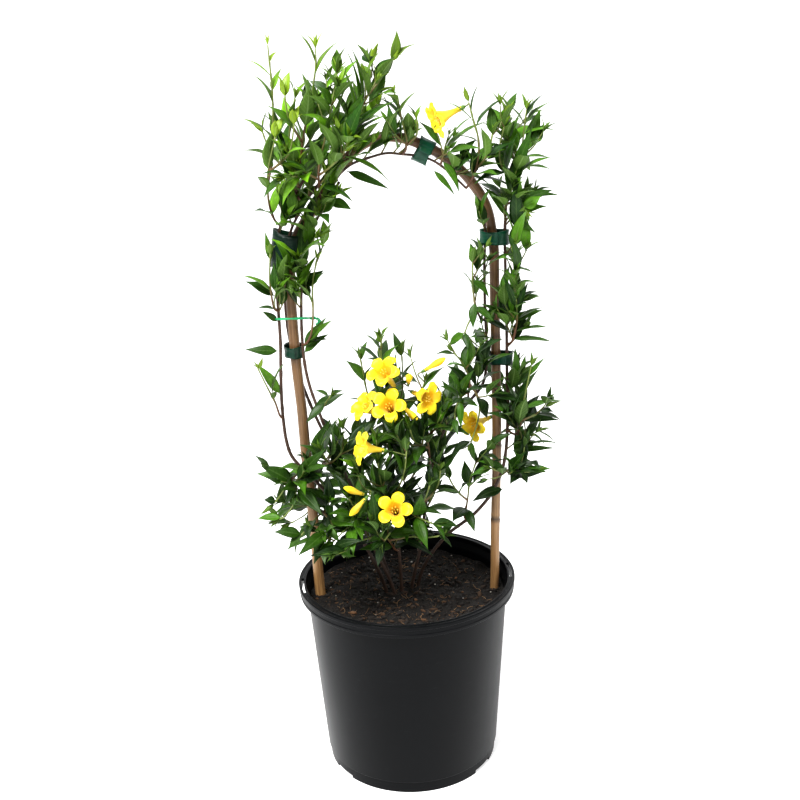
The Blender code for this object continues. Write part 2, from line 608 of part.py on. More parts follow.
def lay_routes(room, stems):
    """Each shoot's twigs, in clear space, before any leaf is placed."""
    shoots = {}
    for name, (parent, _, _, _, routes, _) in SHOOTS.items():
        rng = random.Random(name)
        twigs = []
        for number, places in enumerate(routes):
            points = [seen(p) for p in places]
            for attempt in range(60):
                shift = 0.5 * attempt * MM
                bent = [points[0]] + [p + Vector([rng.uniform(-shift, shift) for _ in range(3)])
                                      for p in points[1:]]
                if number:
                    carrier, spot, bent[0] = nearest_twig(twigs, bent[0])
                else:
                    bent[0], bend = leave(*stems[parent], bent[0], bent[1])
                    bent.insert(1, bend)
                route = smooth(bent, TWIG_STEP)
                radii = taper(route, *TWIG_RADII)
                fat = pipe(route, [r + TWIG_ROOM * MM for r in radii], 6)
                if not room.meets(fat, own_twigs(name, number)):
                    break
            for k in range(len(route) - 1):
                room.add(f"{name}/{number}:{k}", pipe(route[k:k + 2], radii[k:k + 2], 6))
            twigs.append({"route": route, "radii": radii, "joints": [], "forks": []})
            if number:
                carrier["forks"].append(spot)
        shoots[name] = twigs
    return shoots


def own_twigs(name, count):
    """What a shoot's first few twigs are called in the room."""
    return {f"{name}/{twig}:{k}" for twig in range(count) for k in range(99)}


def nearest_twig(twigs, point):
    """The twig that passes nearest to a point, how far along it that is, and the place there."""
    best = None
    for twig in twigs:
        route = twig["route"]
        place, _, share = nearest(route, point)
        k = min(len(route) - 2, int(share * (len(route) - 1)))
        spot = route_length(route[:k + 1]) + (place - route[k]).length
        if best is None or (place - point).length < best[0]:
            best = ((place - point).length, twig, spot, place)
    return best[1:]


def lay_stalks(room, shoots):
    """A stalk for each flower and bud, from its shoot to just short of the flower, in clear space."""
    stalks = {name: [] for name in SHOOTS}
    for name, (shoot, base, head) in {**BLOOMS, **BUDS}.items():
        rng = random.Random(name)
        base, head = seen(base), seen(head)
        axis = (head - base).normalized()
        end = base - axis * CLEAR * MM
        own = own_twigs(shoot, len(shoots[shoot]))
        radii = [0.75 * MM, 0.75 * MM, 1.5 * MM, 1.9 * MM]
        for attempt in range(60):
            shift = 0.4 * attempt * MM
            aim = base - axis * 10 * MM + Vector([rng.uniform(-shift, shift) * 3 for _ in range(3)])
            carrier, spot, start = nearest_twig(shoots[shoot], aim)
            gap = (end - start).length
            knee = end - axis * min(6.5 * MM, 0.6 * gap)
            cup = end - axis * min(2.6 * MM, 0.25 * gap)
            route = [start, knee, cup, end]
            if not room.meets(pipe(route, [r + TWIG_ROOM * MM for r in radii], 6), {shoot, name, *own}):
                break
        room.add(shoot, pipe(route, radii, 6))
        carrier["forks"].append(spot)
        stalks[shoot].append((route, radii))
    return stalks


def lay_leaf(room, label, skip, rng, base, tip, up, width):
    """One leaf where it is asked for or turned a little, clear of everything, or None."""
    run = tip - base
    for attempt in range(16):
        swing = 0.05 * attempt
        turn = Vector([rng.uniform(-swing, swing) for _ in range(3)]) * run.length
        scale = 1 - 0.015 * attempt
        end = base + run * scale + turn
        whole = blade(base, end, up, width * scale, LEAF_ROOM * MM)
        outer = blade(base, end, up, width * scale, LEAF_ROOM * MM, PAST_ROOT)
        if not room.meets(whole, skip) and not room.meets(outer, ()):
            room.add(label, blade(base, end, up, width * scale))
            return end, up, width * scale
    return None


def upward(tangent, run):
    """Which way a leaf's upper face looks: to the sky and to the tip of its twig."""
    up = tangent * 0.6 + Vector((0, -0.25, 0.8))
    return up - run * (up.dot(run) / run.length_squared)


def joint_of(joints, route, spot, aim, reach):
    """The twig's joint within reach of that distance along it, or a new one, which faces a leaf's aim."""
    for joint in joints:
        if abs(joint["spot"] - spot) < reach * MM:
            return joint
    place, tangent = along(route, spot)
    out = (aim - tangent * aim.dot(tangent)).normalized()
    joint = {"spot": spot, "place": place, "tangent": tangent, "out": out, "leaves": {}}
    joints.append(joint)
    return joint


def side_of(joint, aim):
    """Which of a joint's four sides faces an aim most nearly, and is still free."""
    sides = [side for side in range(4) if side not in joint["leaves"]]
    return max(sides, key=lambda side: outward(joint, side).dot(aim), default=None)


def outward(joint, side):
    return Matrix.Rotation(math.pi / 2 * side, 3, joint["tangent"]) @ joint["out"]


def single_leaves(room, name, twigs):
    """The leaves that are placed one by one, each from the twig that is seen nearest to its foot."""
    rng = random.Random(name + " single")
    for k, (foot, tip, width) in enumerate(SHOOTS[name][5]):
        foot = Vector(foot) * MM
        spots = [((view_of(along(twig["route"], s * MM)[0]) - foot).length, n, s * MM)
                 for n, twig in enumerate(twigs)
                 for s in range(5, int(route_length(twig["route"]) / MM))]
        _, number, spot = min(spots)
        route, joints = twigs[number]["route"], twigs[number]["joints"]
        end = seen(tip)
        for shift in JOINT_SHIFTS:
            place = min(max(spot + shift * MM, 4 * MM), route_length(route) - JOINT_HALF * MM)
            joint = joint_of(joints, route, place, end - along(route, place)[0], JOINT_REACH)
            base, tangent = joint["place"], joint["tangent"]
            side = side_of(joint, end - base)
            if side is None or outward(joint, side).dot((end - base).normalized()) < 0.3:
                continue
            skip = near_labels(name, number, joint["spot"])
            leaf = lay_leaf(room, f"{name}/{number}/{joint['spot']:.4f}", skip, rng, base, end,
                            upward(tangent, end - base), width * MM)
            if leaf:
                joint["leaves"][side] = (*leaf, 0.5)
                break
        joints[:] = [joint for joint in joints if joint["leaves"]]


def near_labels(name, number, spot):
    """What a leaf may touch at its root: its own joint and the bit of twig there."""
    return {f"{name}/{number}/{spot:.4f}", *(f"{name}/{number}:{k}" for k in
                                            range(int(spot / (TWIG_STEP * MM)) - 1,
                                                  int(spot / (TWIG_STEP * MM)) + 3))}


def paired_leaves(room, name, twigs):
    """Opposite leaves in pairs up each twig, every pair a quarter turn from the last."""
    _, size, spread, droop, _, _ = SHOOTS[name]
    rng = random.Random(name + " pairs")
    for number, twig in enumerate(twigs):
        route, joints = twig["route"], twig["joints"]
        total = route_length(route)
        level = (route[-1] - route[0]).orthogonal().normalized()
        turn = rng.uniform(0, math.pi)
        first = FIRST_LEAF * MM
        last = total - (JOINT_HALF + 0.1) * MM
        count = max(1, round((last - first) / (INTERNODE * MM)))
        for k in range(count, -1, -1):
            spot = first + (last - first) * (k + (rng.uniform(-0.15, 0.15) if 0 < k < count else 0)) / count
            _, tangent = along(route, spot)
            turn += math.pi / 2 + rng.uniform(-0.35, 0.35)
            joint_of(joints, route, spot, Matrix.Rotation(turn, 3, tangent) @ level, 0.45 * INTERNODE)
        for joint in sorted(joints, key=lambda j: j["spot"]):
            share = joint["spot"] / total
            base, tangent = joint["place"], joint["tangent"]
            if joint["leaves"]:
                continue
            for side in (0, 2):
                lean = math.radians(spread * (1.15 - 0.45 * share) + rng.uniform(-8, 8))
                aim = tangent * math.cos(lean) + outward(joint, side) * math.sin(lean)
                aim = (aim + Vector((0, 0, droop))).normalized()
                reach = size * rng.uniform(0.8, 1.12) * (1 - 0.3 * share**3) * MM
                width = reach * LEAF_SLENDERNESS * rng.uniform(0.88, 1.15)
                tip = base + aim * reach
                skip = near_labels(name, number, joint["spot"])
                leaf = lay_leaf(room, f"{name}/{number}/{joint['spot']:.4f}", skip, rng, base, tip,
                                upward(tangent, tip - base), width)
                if leaf:
                    joint["leaves"][side] = (*leaf, share)


def grow():
    """The whole plant: stems, and for each shoot its twigs with their leaves, and its flower stalks."""
    room = Room()
    route, radii = cane()
    room.add("hoop", pipe(route, [r * 1.08 + 0.2 * MM for r in radii], 10))
    stems = stem_routes()
    for name, (route, radii) in stems.items():
        room.add(name, pipe(route, radii))
    for name in BANDS:
        room.add(name, band_shape(name))
    rise = Vector((0, 0, WIRE_DIP * WIRE_HALF[1] + 1)) * MM
    wire = pipe([mm(WIRE_MIDDLE) - rise, mm(WIRE_MIDDLE) + rise], [(WIRE_HALF[0] + 1) * MM] * 2, 12)
    room.add("tie_wire", wire)
    room.add("pot", pipe([Vector((0, 0, 0)), Vector((0, 0, (POT_HEIGHT + 1) * MM))],
                         [(RIM_RADIUS + 1) * MM] * 2, 24))
    room.add("window", box_shape(*WINDOW))
    for name, (_, base, head) in BLOOMS.items():
        room.add(name, bloom_shape(seen(base), seen(head), CLEAR * MM))
    for name, (_, base, head) in BUDS.items():
        route, radii = bud_route(seen(base), seen(head))
        room.add(name, pipe(route, [r + CLEAR * MM for r in radii]))
    shoots = lay_routes(room, stems)
    stalks = lay_stalks(room, shoots)
    for name, twigs in shoots.items():
        single_leaves(room, name, twigs)
    for name, twigs in shoots.items():
        paired_leaves(room, name, twigs)
    return stems, shoots, stalks


def material(name, colour, roughness, metallic=0.0):
    made = bpy.data.materials.new(name)
    made.use_nodes = True
    shader = made.node_tree.nodes["Principled BSDF"]
    shader.inputs["Base Color"].default_value = (*colour, 1)
    shader.inputs["Roughness"].default_value = roughness
    shader.inputs["Metallic"].default_value = metallic
    made.diffuse_color = (*colour, 1)
    return made


def new_object(name, mesh, collection, finish=None):
    thing = bpy.data.objects.new(name, mesh)
    collection.objects.link(thing)
    if finish:
        mesh.materials.append(finish)
    return thing


def leafy_twig(name, twig, drawn):
    """A twig as one closed mesh, with each of its leaves that cuts neither the twig nor what is drawn."""
    wanted = [(joint, side, leaf) for joint in twig["joints"] for side, leaf in joint["leaves"].items()]
    for joint in twig["joints"]:
        joint["leaves"] = {}
    work = twig_skin(twig)
    bare = BVHTree.FromBMesh(work)
    work.free()
    others = [tree for tree in drawn if not bare.overlap(tree)]
    for joint, side, leaf in wanted:
        joint["leaves"][side] = leaf
        work = twig_skin(twig)
        tree = BVHTree.FromBMesh(work)
        work.faces.ensure_lookup_table()
        faces = work.faces
        if (any(a < b and not set(faces[a].verts) & set(faces[b].verts) for a, b in tree.overlap(tree))
                or any(tree.overlap(other) for other in others)):
            del joint["leaves"][side]
        work.free()
    work = twig_skin(twig)
    drawn.append(BVHTree.FromBMesh(work))
    mesh = bpy.data.meshes.new(name)
    work.to_mesh(mesh)
    work.free()
    return mesh


def twig_skin(twig):
    """A square twig whose leaves are drawn out of the sides of its joints."""
    route, radii = twig["route"], twig["radii"]
    joints = sorted(twig["joints"], key=lambda joint: joint["spot"])
    work = bmesh.new()
    total = route_length(route)
    stops = []
    for spot in [0, min(4 * MM, joints[0]["spot"] / 2), *twig["forks"]]:
        taken = [joint["spot"] for joint in joints] + [stop[0] for stop in stops]
        if all(abs(spot - other) > 2 * JOINT_HALF * MM for other in taken):
            near = min(joints, key=lambda joint: abs(joint["spot"] - spot))
            stops.append((spot, *along(route, spot), near["out"], None))
    for joint in joints:
        for end in (-1, 1):
            shift = end * JOINT_HALF * MM
            stops.append((joint["spot"] + shift, joint["place"] + joint["tangent"] * shift,
                          joint["tangent"], joint["out"], joint if end < 0 else None))
    stops.sort(key=lambda stop: stop[0])
    follow_bends(stops, route)
    rings = []
    for spot, place, tangent, out, _ in stops:
        radius = radii[0] + (radii[-1] - radii[0]) * spot / total
        out = (out - tangent * out.dot(tangent)).normalized()
        turns = [Matrix.Rotation(math.pi * (k / 2 - 0.25), 3, tangent) for k in range(4)]
        rings.append([work.verts.new(place + turn @ out * radius) for turn in turns])
    for stop, lower, upper in zip(stops, rings, rings[1:]):
        joint = stop[4]
        shift = 0 if joint else least_twist(lower, upper)
        for side in range(4):
            a, b = lower[side], lower[(side + 1) % 4]
            c, d = upper[(side + 1 + shift) % 4], upper[(side + shift) % 4]
            if joint and side in joint["leaves"]:
                draw_leaf(work, [a, b, c, d], joint["place"], joint["leaves"][side])
            else:
                work.faces.new((a, b, c))
                work.faces.new((a, c, d))
    work.faces.new(rings[0][::-1])
    bud = work.verts.new(stops[-1][1] + stops[-1][2] * radii[-1] * 3)
    for side in range(4):
        work.faces.new((rings[-1][side], rings[-1][(side + 1) % 4], bud))
    bmesh.ops.recalc_face_normals(work, faces=work.faces)
    return work


def follow_bends(stops, route):
    """Add a stop at each bend of a twig that the straight run between two others would cut."""
    k = 1
    while k < len(stops):
        low, high = stops[k - 1], stops[k]
        run = high[1] - low[1]
        far = None
        for n in range(1, len(route) - 1):
            spot = route_length(route[:n + 1])
            if low[0] + 3 * MM < spot < high[0] - 3 * MM:
                offset = route[n] - low[1]
                stray = (offset - run * (offset.dot(run) / run.length_squared)).length
                if stray > BEND_STRAY * MM and (far is None or stray > far[0]):
                    far = (stray, spot)
        if far:
            stops.insert(k, (far[1], *along(route, far[1]), low[3], None))
        else:
            k += 1


def least_twist(lower, upper):
    """How many corners to step round so that two square rings meet with the least twist."""
    return min(range(4), key=lambda n: sum((lower[k].co - upper[(k + n) % 4].co).length for k in range(4)))


def draw_leaf(work, corners, base, entry):
    """Draw a leaf out of one side of a twig's joint."""
    tip, up, width, _ = entry
    _, sections, end = blade_sections(base, tip, up, width)
    axis = tip - base
    turning = sum((a.co - base).cross(b.co - base).dot(axis)
                  for a, b in zip(corners, corners[1:] + corners[:1]))
    middle = sum(sections[0], Vector()) / 4
    wanted = sum((a - middle).cross(b - middle).dot(axis)
                 for a, b in zip(sections[0], sections[0][1:] + sections[0][:1]))
    if turning * wanted < 0:
        corners = corners[::-1]
    start = base + (tip - base) * 0.1
    ring = [p - middle + start for p in sections[0]]
    shift = min(range(4), key=lambda n: sum((corners[(k + n) % 4].co - ring[k]).length for k in range(4)))
    rings = [[corners[(k + shift) % 4] for k in range(4)]]
    rings += [[work.verts.new(p) for p in section] for section in sections]
    for face in leaf_skin(rings, work.verts.new(end)):
        work.faces.new(face)


def evaluated_mesh(thing):
    bpy.context.view_layer.update()
    graph = bpy.context.evaluated_depsgraph_get()
    return bpy.data.meshes.new_from_object(thing.evaluated_get(graph))


def rod(name, route, radii, sides, closed=False):
    """A mesh tube along a route, from a bevelled curve."""
    curve = bpy.data.curves.new(name, "CURVE")
    curve.dimensions = "3D"
    curve.bevel_depth = 1.0
    curve.bevel_resolution = sides
    curve.use_fill_caps = not closed
    spline = curve.splines.new("POLY")
    spline.points.add(len(route) - 1)
    spline.use_cyclic_u = closed
    for point, place, radius in zip(spline.points, route, radii):
        point.co = (*place, 1)
        point.radius = radius
    thing = new_object(name, curve, PART)
    mesh = evaluated_mesh(thing)
    bpy.data.objects.remove(thing)
    bpy.data.curves.remove(curve)
    work = bmesh.new()
    work.from_mesh(mesh)
    bmesh.ops.remove_doubles(work, verts=work.verts, dist=1e-6)
    bmesh.ops.recalc_face_normals(work, faces=work.faces)
    work.to_mesh(mesh)
    work.free()
    return mesh


def cut(thing, cutters, name):
    """Subtract every cutter mesh from a thing with one Boolean."""
    tools = bpy.data.collections.new(name)
    CUTTERS.children.link(tools)
    for k, mesh in enumerate(cutters):
        tool = new_object(f"{name}_{k}", mesh, tools)
        tool.hide_render = True
        tool.display_type = "WIRE"
    change = thing.modifiers.new(name, "BOOLEAN")
    change.operation = "DIFFERENCE"
    change.operand_type = "COLLECTION"
    change.collection = tools
    change.solver = "EXACT"


def join(name, meshes, finish, solver="EXACT"):
    """One body from meshes that grow into each other."""
    whole = new_object(name, meshes[0], PART, finish)
    if len(meshes) > 1:
        loose = bpy.data.collections.new(name + "_pieces")
        CUTTERS.children.link(loose)
        for k, mesh in enumerate(meshes[1:]):
            new_object(f"{name}_piece_{k}", mesh, loose)
        change = whole.modifiers.new("join", "BOOLEAN")
        change.operation = "UNION"
        change.operand_type = "COLLECTION"
        change.collection = loose
        change.solver = solver
        mesh = evaluated_mesh(whole)
        whole.modifiers.clear()
        whole.data = mesh
        mesh.materials.clear()
        mesh.materials.append(finish)
        for piece in list(loose.objects):
            bpy.data.objects.remove(piece)
        bpy.data.collections.remove(loose)
    return whole


def turned(name, profile, sides, finish):
    """A turned solid from a profile of (radius, height) that ends on the axis or closes on itself."""
    mesh = bpy.data.meshes.new(name)
    edges = [(k, k + 1) for k in range(len(profile) - 1)]
    mesh.from_pydata([(r * MM, 0, z * MM) for r, z in profile], edges, [])
    thing = new_object(name, mesh, PART, finish)
    screw = thing.modifiers.new("turn", "SCREW")
    screw.steps = sides
    screw.render_steps = sides
    screw.use_merge_vertices = True
    screw.merge_threshold = 0.00005
    screw.use_smooth_shade = True
    return thing


def build_pot(finish):
    top = POT_HEIGHT
    inner_lip = RIM_RADIUS - LIP_WIDTH
    ledge = top - 2.0
    profile = (
        (0, 3.0), (FOOT_RADIUS - WALL, 3.0),
        (FOOT_RADIUS - WALL, FOOT_HEIGHT - 1), (BODY_FOOT_RADIUS - WALL, FOOT_HEIGHT + 1),
        (BODY_TOP_RADIUS - WALL, top - SKIRT_HEIGHT), (inner_lip, top - 4.5), (inner_lip, top - 1.2),
        (inner_lip + 1.2, top), (RIM_RADIUS - 1.2, top), (RIM_RADIUS, top - 1.2),
        (RIM_RADIUS - 0.2, top - 6.2), (RIM_RADIUS - 1.1, top - SKIRT_HEIGHT),
        (RIM_RADIUS - 2.6, top - SKIRT_HEIGHT), (RIM_RADIUS - 2.4, ledge - 0.6),
        (inner_lip + WALL, ledge - 0.6),
        (BODY_TOP_RADIUS, top - SKIRT_HEIGHT - 0.6), (BODY_FOOT_RADIUS, FOOT_HEIGHT + 0.6),
        (FOOT_RADIUS, FOOT_HEIGHT - 0.4), (FOOT_RADIUS, 1.0), (FOOT_RADIUS - 1.0, 0), (0, 0),
    )
    pot = turned("pot", profile, POT_SIDES, finish)
    cutters = []
    for angle in [turn + step for turn in SLOT_TURNS for step in SLOT_STEPS]:
        place = Matrix.Rotation(math.radians(angle), 4, "Z") @ Matrix.Translation(
            (SLOT_RADIUS * MM, 0, (top - 1.0) * MM))
        cutters.append(box_mesh("slot", (*SLOT_SIZE, 6.0), place))
    for angle in NOTCH_TURNS:
        place = Matrix.Rotation(math.radians(angle), 4, "Z") @ Matrix.Translation(
            ((FOOT_RADIUS - 1.0) * MM, 0, 0))
        cutters.append(box_mesh("notch", NOTCH_SIZE, place))
    cut(pot, cutters, "pot_cuts")
    return pot


def box_mesh(name, size, place):
    mesh = bpy.data.meshes.new(name)
    work = bmesh.new()
    bmesh.ops.create_cube(work, size=1.0)
    bmesh.ops.scale(work, verts=work.verts, vec=Vector(size) * MM)
    bmesh.ops.transform(work, verts=work.verts, matrix=place)
    work.to_mesh(mesh)
    work.free()
    return mesh


def soil_height(x, y):
    """The crumbled top of the soil, a little higher round the stems."""
    fine = math.sin(x * 0.21 + 1.3) * math.cos(y * 0.17 - 0.6)
    broad = math.sin(x * 0.09 - y * 0.13 + 2.1)
    return SOIL_TOP + SOIL_MOUND * math.exp(-(x * x + y * y) / 1500) + (fine + broad) * 0.8


def build_soil(finish, holes):
    """A plug that fills the pot, with a hole for the cane's legs and for each stem."""
    low = 3.0 + CLEAR
    rim = SOIL_TOP - 0.6
    wall = [(FOOT_RADIUS - WALL - 2 * CLEAR, low), (FOOT_RADIUS - WALL - 2 * CLEAR, FOOT_HEIGHT - 1),
            (BODY_FOOT_RADIUS - WALL - 2 * CLEAR, FOOT_HEIGHT + 1 + CLEAR)]
    share = (rim - FOOT_HEIGHT - 1) / (POT_HEIGHT - SKIRT_HEIGHT - FOOT_HEIGHT - 1)
    top_radius = BODY_FOOT_RADIUS + (BODY_TOP_RADIUS - BODY_FOOT_RADIUS) * share - WALL - 2 * CLEAR
    wall.append((top_radius, rim))
    work = bmesh.new()
    rings = []
    radii = [(top_radius * k / SOIL_RINGS, None) for k in range(1, SOIL_RINGS)]
    for radius, height in radii + wall[::-1]:
        ring = []
        for side in range(SOIL_SIDES):
            angle = math.tau * (side + 0.5 * (len(rings) % 2 if height is None else 0)) / SOIL_SIDES
            x, y = radius * math.cos(angle), radius * math.sin(angle)
            ring.append(work.verts.new(mm((x, y, soil_height(x, y) if height is None else height))))
        rings.append(ring)
    middle = work.verts.new(mm((0, 0, soil_height(0, 0))))
    floor = work.verts.new(mm((0, 0, low)))
    for k in range(SOIL_SIDES):
        after = (k + 1) % SOIL_SIDES
        work.faces.new((middle, rings[0][k], rings[0][after]))
        work.faces.new((floor, rings[-1][after], rings[-1][k]))
        for upper, lower in zip(rings, rings[1:]):
            work.faces.new((upper[k], lower[k], lower[after]))
            work.faces.new((upper[k], lower[after], upper[after]))
    mesh = bpy.data.meshes.new("soil")
    bmesh.ops.recalc_face_normals(work, faces=work.faces)
    work.to_mesh(mesh)
    work.free()
    soil = new_object("soil", mesh, PART, finish)
    cut(soil, holes, "soil_holes")
    return soil


def hole(route, radii, bottom):
    """A plain hole round the foot of a cane or a stem, open at the top."""
    count = 1 + next(k for k, place in enumerate(route) if place.z > (SOIL_TOP + 8) * MM)
    places = [route[0] - Vector((0, 0, 0.5 * MM)), *route[1:count]]
    return rod("hole", places, [r * 1.06 + CLEAR * MM for r in radii[:count]], bottom)


def build_band(name, finish):
    """A tie band: an open oval ring of tape given its thickness."""
    low, high, turn = band_route(name)
    _, wide, deep, _, _ = BANDS[name]
    bpy.ops.mesh.primitive_cylinder_add(vertices=BAND_SIDES, radius=1, depth=(high - low).length,
                                        end_fill_type="NOTHING")
    thing = bpy.context.object
    thing.name = name
    thing.data.transform(Matrix.Diagonal((wide * MM, deep * MM, 1, 1)))
    thing.data.transform(turn.to_4x4())
    thing.location = low.lerp(high, 0.5)
    for old in list(thing.users_collection):
        old.objects.unlink(thing)
    PART.objects.link(thing)
    thing.data.materials.append(finish)
    shell = thing.modifiers.new("tape", "SOLIDIFY")
    shell.thickness = BAND_THICKNESS * MM
    shell.offset = -1
    return thing


def build_wire(finish):
    """The twist wire: a closed loop with its twisted ends."""
    middle = mm(WIRE_MIDDLE)
    loop = []
    for k in range(WIRE_SIDES):
        turn = math.tau * k / WIRE_SIDES
        deep = math.sin(turn) * WIRE_HALF[1]
        loop.append(middle + mm((math.cos(turn) * WIRE_HALF[0], deep, -deep * WIRE_DIP)))
    ring = rod("tie_wire_loop", loop, [WIRE_RADIUS * MM] * WIRE_SIDES, 0, closed=True)
    tail = smooth([mm(p) for p in WIRE_TAIL], 4.0)
    ends = rod("tie_wire_tail", tail, [WIRE_RADIUS * 1.1 * MM] * len(tail), 0)
    return join("tie_wire", [ring, ends], finish)


def build_bloom(name, finish):
    """One funnel flower of five round lobes: an open surface given its thickness."""
    _, base, mouth = BLOOMS[name]
    base, mouth = seen(base), seen(mouth)
    axis = (mouth - base).normalized()
    reach = (mouth - base).length
    side = axis.cross(Vector((0, 0, 1))).normalized()
    other = axis.cross(side)
    full = BLOOM_WIDTH / 2 * MM
    # Share of the reach along the axis, points round the ring, radius on a lobe and in the notches
    rings = ((0.0, 5, 1.8 * MM, 1.8 * MM), (0.42, 5, 2.6 * MM, 2.6 * MM),
             (0.84, 15, 8.0 * MM, 7.0 * MM), (1.0, 15, full, 8.2 * MM))
    work = bmesh.new()
    layers = []
    for share, count, lobe, notch in rings:
        layer = []
        for k in range(count):
            in_notch = k % 3 == 0
            angle = math.tau * (k / count + (0.1 if count == 5 else 0))
            height = reach * (share - (0.03 if in_notch and share == 1.0 else 0.0))
            layer.append(work.verts.new(base + axis * height + (
                side * math.cos(angle) + other * math.sin(angle)) * (notch if in_notch else lobe)))
        layers.append(layer)
    tube, throat, neck, rim = layers
    root = work.faces.new(tube[::-1])
    for k in range(5):
        after = (k + 1) % 5
        work.faces.new((tube[k], tube[after], throat[after]))
        work.faces.new((tube[k], throat[after], throat[k]))
        work.faces.new((throat[k], throat[after], neck[(3 * k + 3) % 15]))
        for n in range(3 * k, 3 * k + 3):
            work.faces.new((throat[k], neck[(n + 1) % 15], neck[n]))
    for k in range(15):
        after = (k + 1) % 15
        a, b, c, d = neck[k], neck[after], rim[after], rim[k]
        if k % 3 == 2:
            work.faces.new((a, b, d))
            work.faces.new((b, c, d))
        else:
            work.faces.new((a, b, c))
            work.faces.new((a, c, d))
    bmesh.ops.recalc_face_normals(work, faces=work.faces)
    if root.normal.dot(axis) > 0:
        bmesh.ops.reverse_faces(work, faces=work.faces)
    mesh = bpy.data.meshes.new(name)
    work.to_mesh(mesh)
    work.free()
    thing = new_object(name, mesh, PART, finish)
    petal = thing.modifiers.new("petal", "SOLIDIFY")
    petal.thickness = 0.7 * MM
    petal.offset = -1
    return thing


def clear_scene():
    for thing in list(bpy.data.objects):
        bpy.data.objects.remove(thing)


def main():
    plastic = material("black_plastic", (0.018, 0.02, 0.023), 0.42)
    earth = material("potting_mix", (0.035, 0.026, 0.02), 0.95)
    bamboo = material("cane", (0.46, 0.25, 0.09), 0.55)
    tape = material("green_tape", (0.01, 0.09, 0.055), 0.35)
    wire = material("green_wire", (0.01, 0.42, 0.16), 0.35)
    bark = material("bark", (0.16, 0.06, 0.035), 0.7)
    leaf = material("leaf", (0.045, 0.17, 0.02), 0.4)
    petal = material("petal", (0.95, 0.72, 0.01), 0.5)

    stems, shoots, stalks = grow()
    cane_route, cane_radii = cane()
    build_pot(plastic)

    legs = [hole(cane_route, cane_radii, 1), hole(cane_route[::-1], cane_radii[::-1], 1)]
    rooted = [name for name, entry in STEMS.items() if entry[0] is None]
    build_soil(earth, legs + [hole(*stems[name], 0) for name in rooted])
    new_object("hoop", rod("hoop", cane_route, cane_radii, 1), PART, bamboo)

    for name in BANDS:
        build_band(name, tape)
    build_wire(wire)
    for name, (route, radii) in stems.items():
        new_object(name, rod(name, route, radii, 0), PART, bark)

    drawn = []
    for name, twigs in shoots.items():
        meshes = [leafy_twig(name, twig, drawn) for twig in twigs]
        meshes += [rod(name, route, radii, 0) for route, radii in stalks[name]]
        join(name, meshes, leaf, "MANIFOLD")

    for name in BLOOMS:
        build_bloom(name, petal)
    for name, (_, base, tip) in BUDS.items():
        new_object(name, rod(name, *bud_route(seen(base), seen(tip)), 0), PART, petal)


clear_scene()
PART = bpy.data.collections.new("potted_jessamine")
CUTTERS = bpy.data.collections.new("cutters")
bpy.context.scene.collection.children.link(PART)
bpy.context.scene.collection.children.link(CUTTERS)
main()
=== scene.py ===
"""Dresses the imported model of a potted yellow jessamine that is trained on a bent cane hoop.

The tables and the growing rule are those of the model's own source, so that each fine leaf, flower
and twig stands where its plain solid stands. Sizes are millimetres, times MM for Blender's metres.
"""

import json
import math
import random

import bmesh
import bpy
from bpy.props import FloatProperty, FloatVectorProperty, IntProperty, PointerProperty
from mathutils import Matrix, Vector, noise
from mathutils.bvhtree import BVHTree

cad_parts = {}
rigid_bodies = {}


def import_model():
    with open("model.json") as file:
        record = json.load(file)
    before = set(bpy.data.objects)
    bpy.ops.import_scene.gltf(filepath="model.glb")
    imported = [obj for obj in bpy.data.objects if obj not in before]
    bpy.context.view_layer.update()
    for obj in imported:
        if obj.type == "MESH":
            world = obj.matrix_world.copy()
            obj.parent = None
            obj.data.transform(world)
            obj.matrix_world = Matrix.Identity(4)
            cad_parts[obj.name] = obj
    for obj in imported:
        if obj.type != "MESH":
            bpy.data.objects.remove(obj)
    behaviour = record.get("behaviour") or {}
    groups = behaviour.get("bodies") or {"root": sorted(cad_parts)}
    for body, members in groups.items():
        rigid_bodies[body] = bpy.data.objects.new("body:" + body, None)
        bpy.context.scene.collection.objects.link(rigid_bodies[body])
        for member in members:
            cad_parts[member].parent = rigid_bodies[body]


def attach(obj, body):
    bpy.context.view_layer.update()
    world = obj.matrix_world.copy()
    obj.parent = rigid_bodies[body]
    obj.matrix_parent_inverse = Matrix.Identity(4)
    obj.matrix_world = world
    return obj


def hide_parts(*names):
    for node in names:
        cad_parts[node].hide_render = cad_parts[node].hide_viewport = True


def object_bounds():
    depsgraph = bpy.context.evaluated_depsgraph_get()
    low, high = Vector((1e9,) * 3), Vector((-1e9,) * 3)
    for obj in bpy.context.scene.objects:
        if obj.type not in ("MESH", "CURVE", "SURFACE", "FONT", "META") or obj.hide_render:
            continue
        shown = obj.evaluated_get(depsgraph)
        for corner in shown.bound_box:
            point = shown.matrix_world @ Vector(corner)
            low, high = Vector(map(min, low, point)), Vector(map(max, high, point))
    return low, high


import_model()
CAD_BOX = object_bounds()

bl_info = {
    "name": "Potted Jessamine on a Hoop",
    "version": (1, 0, 0),
    "blender": (4, 5, 0),
    "location": "3D View > Sidebar > Jessamine",
    "description": "Gives the packed model of a potted yellow jessamine its fine shapes and finishes",
    "category": "Object",
}

MM = 0.001
CLEAR = 0.3

# The nursery pot
POT_HEIGHT = 180.0
RIM_RADIUS = 100.0
LIP_WIDTH = 6.6
SKIRT_HEIGHT = 10.6
WALL = 1.7
BODY_TOP_RADIUS = 92.5
BODY_FOOT_RADIUS = 81.2
FOOT_RADIUS = 79.4
FOOT_HEIGHT = 11.0
SLOT_SIZE = (2.5, 9.8)
SLOT_RADIUS = 96.35
# Each hanger slot is cut in three steps that follow the rim, in degrees about the pot's axis
SLOT_TURNS = (1.5, 188.5)
SLOT_STEPS = (-5.6, 0.0, 5.6)
NOTCH_TURNS = (35, 125, 215, 325)
NOTCH_SIZE = (12.0, 24.0, 6.0)

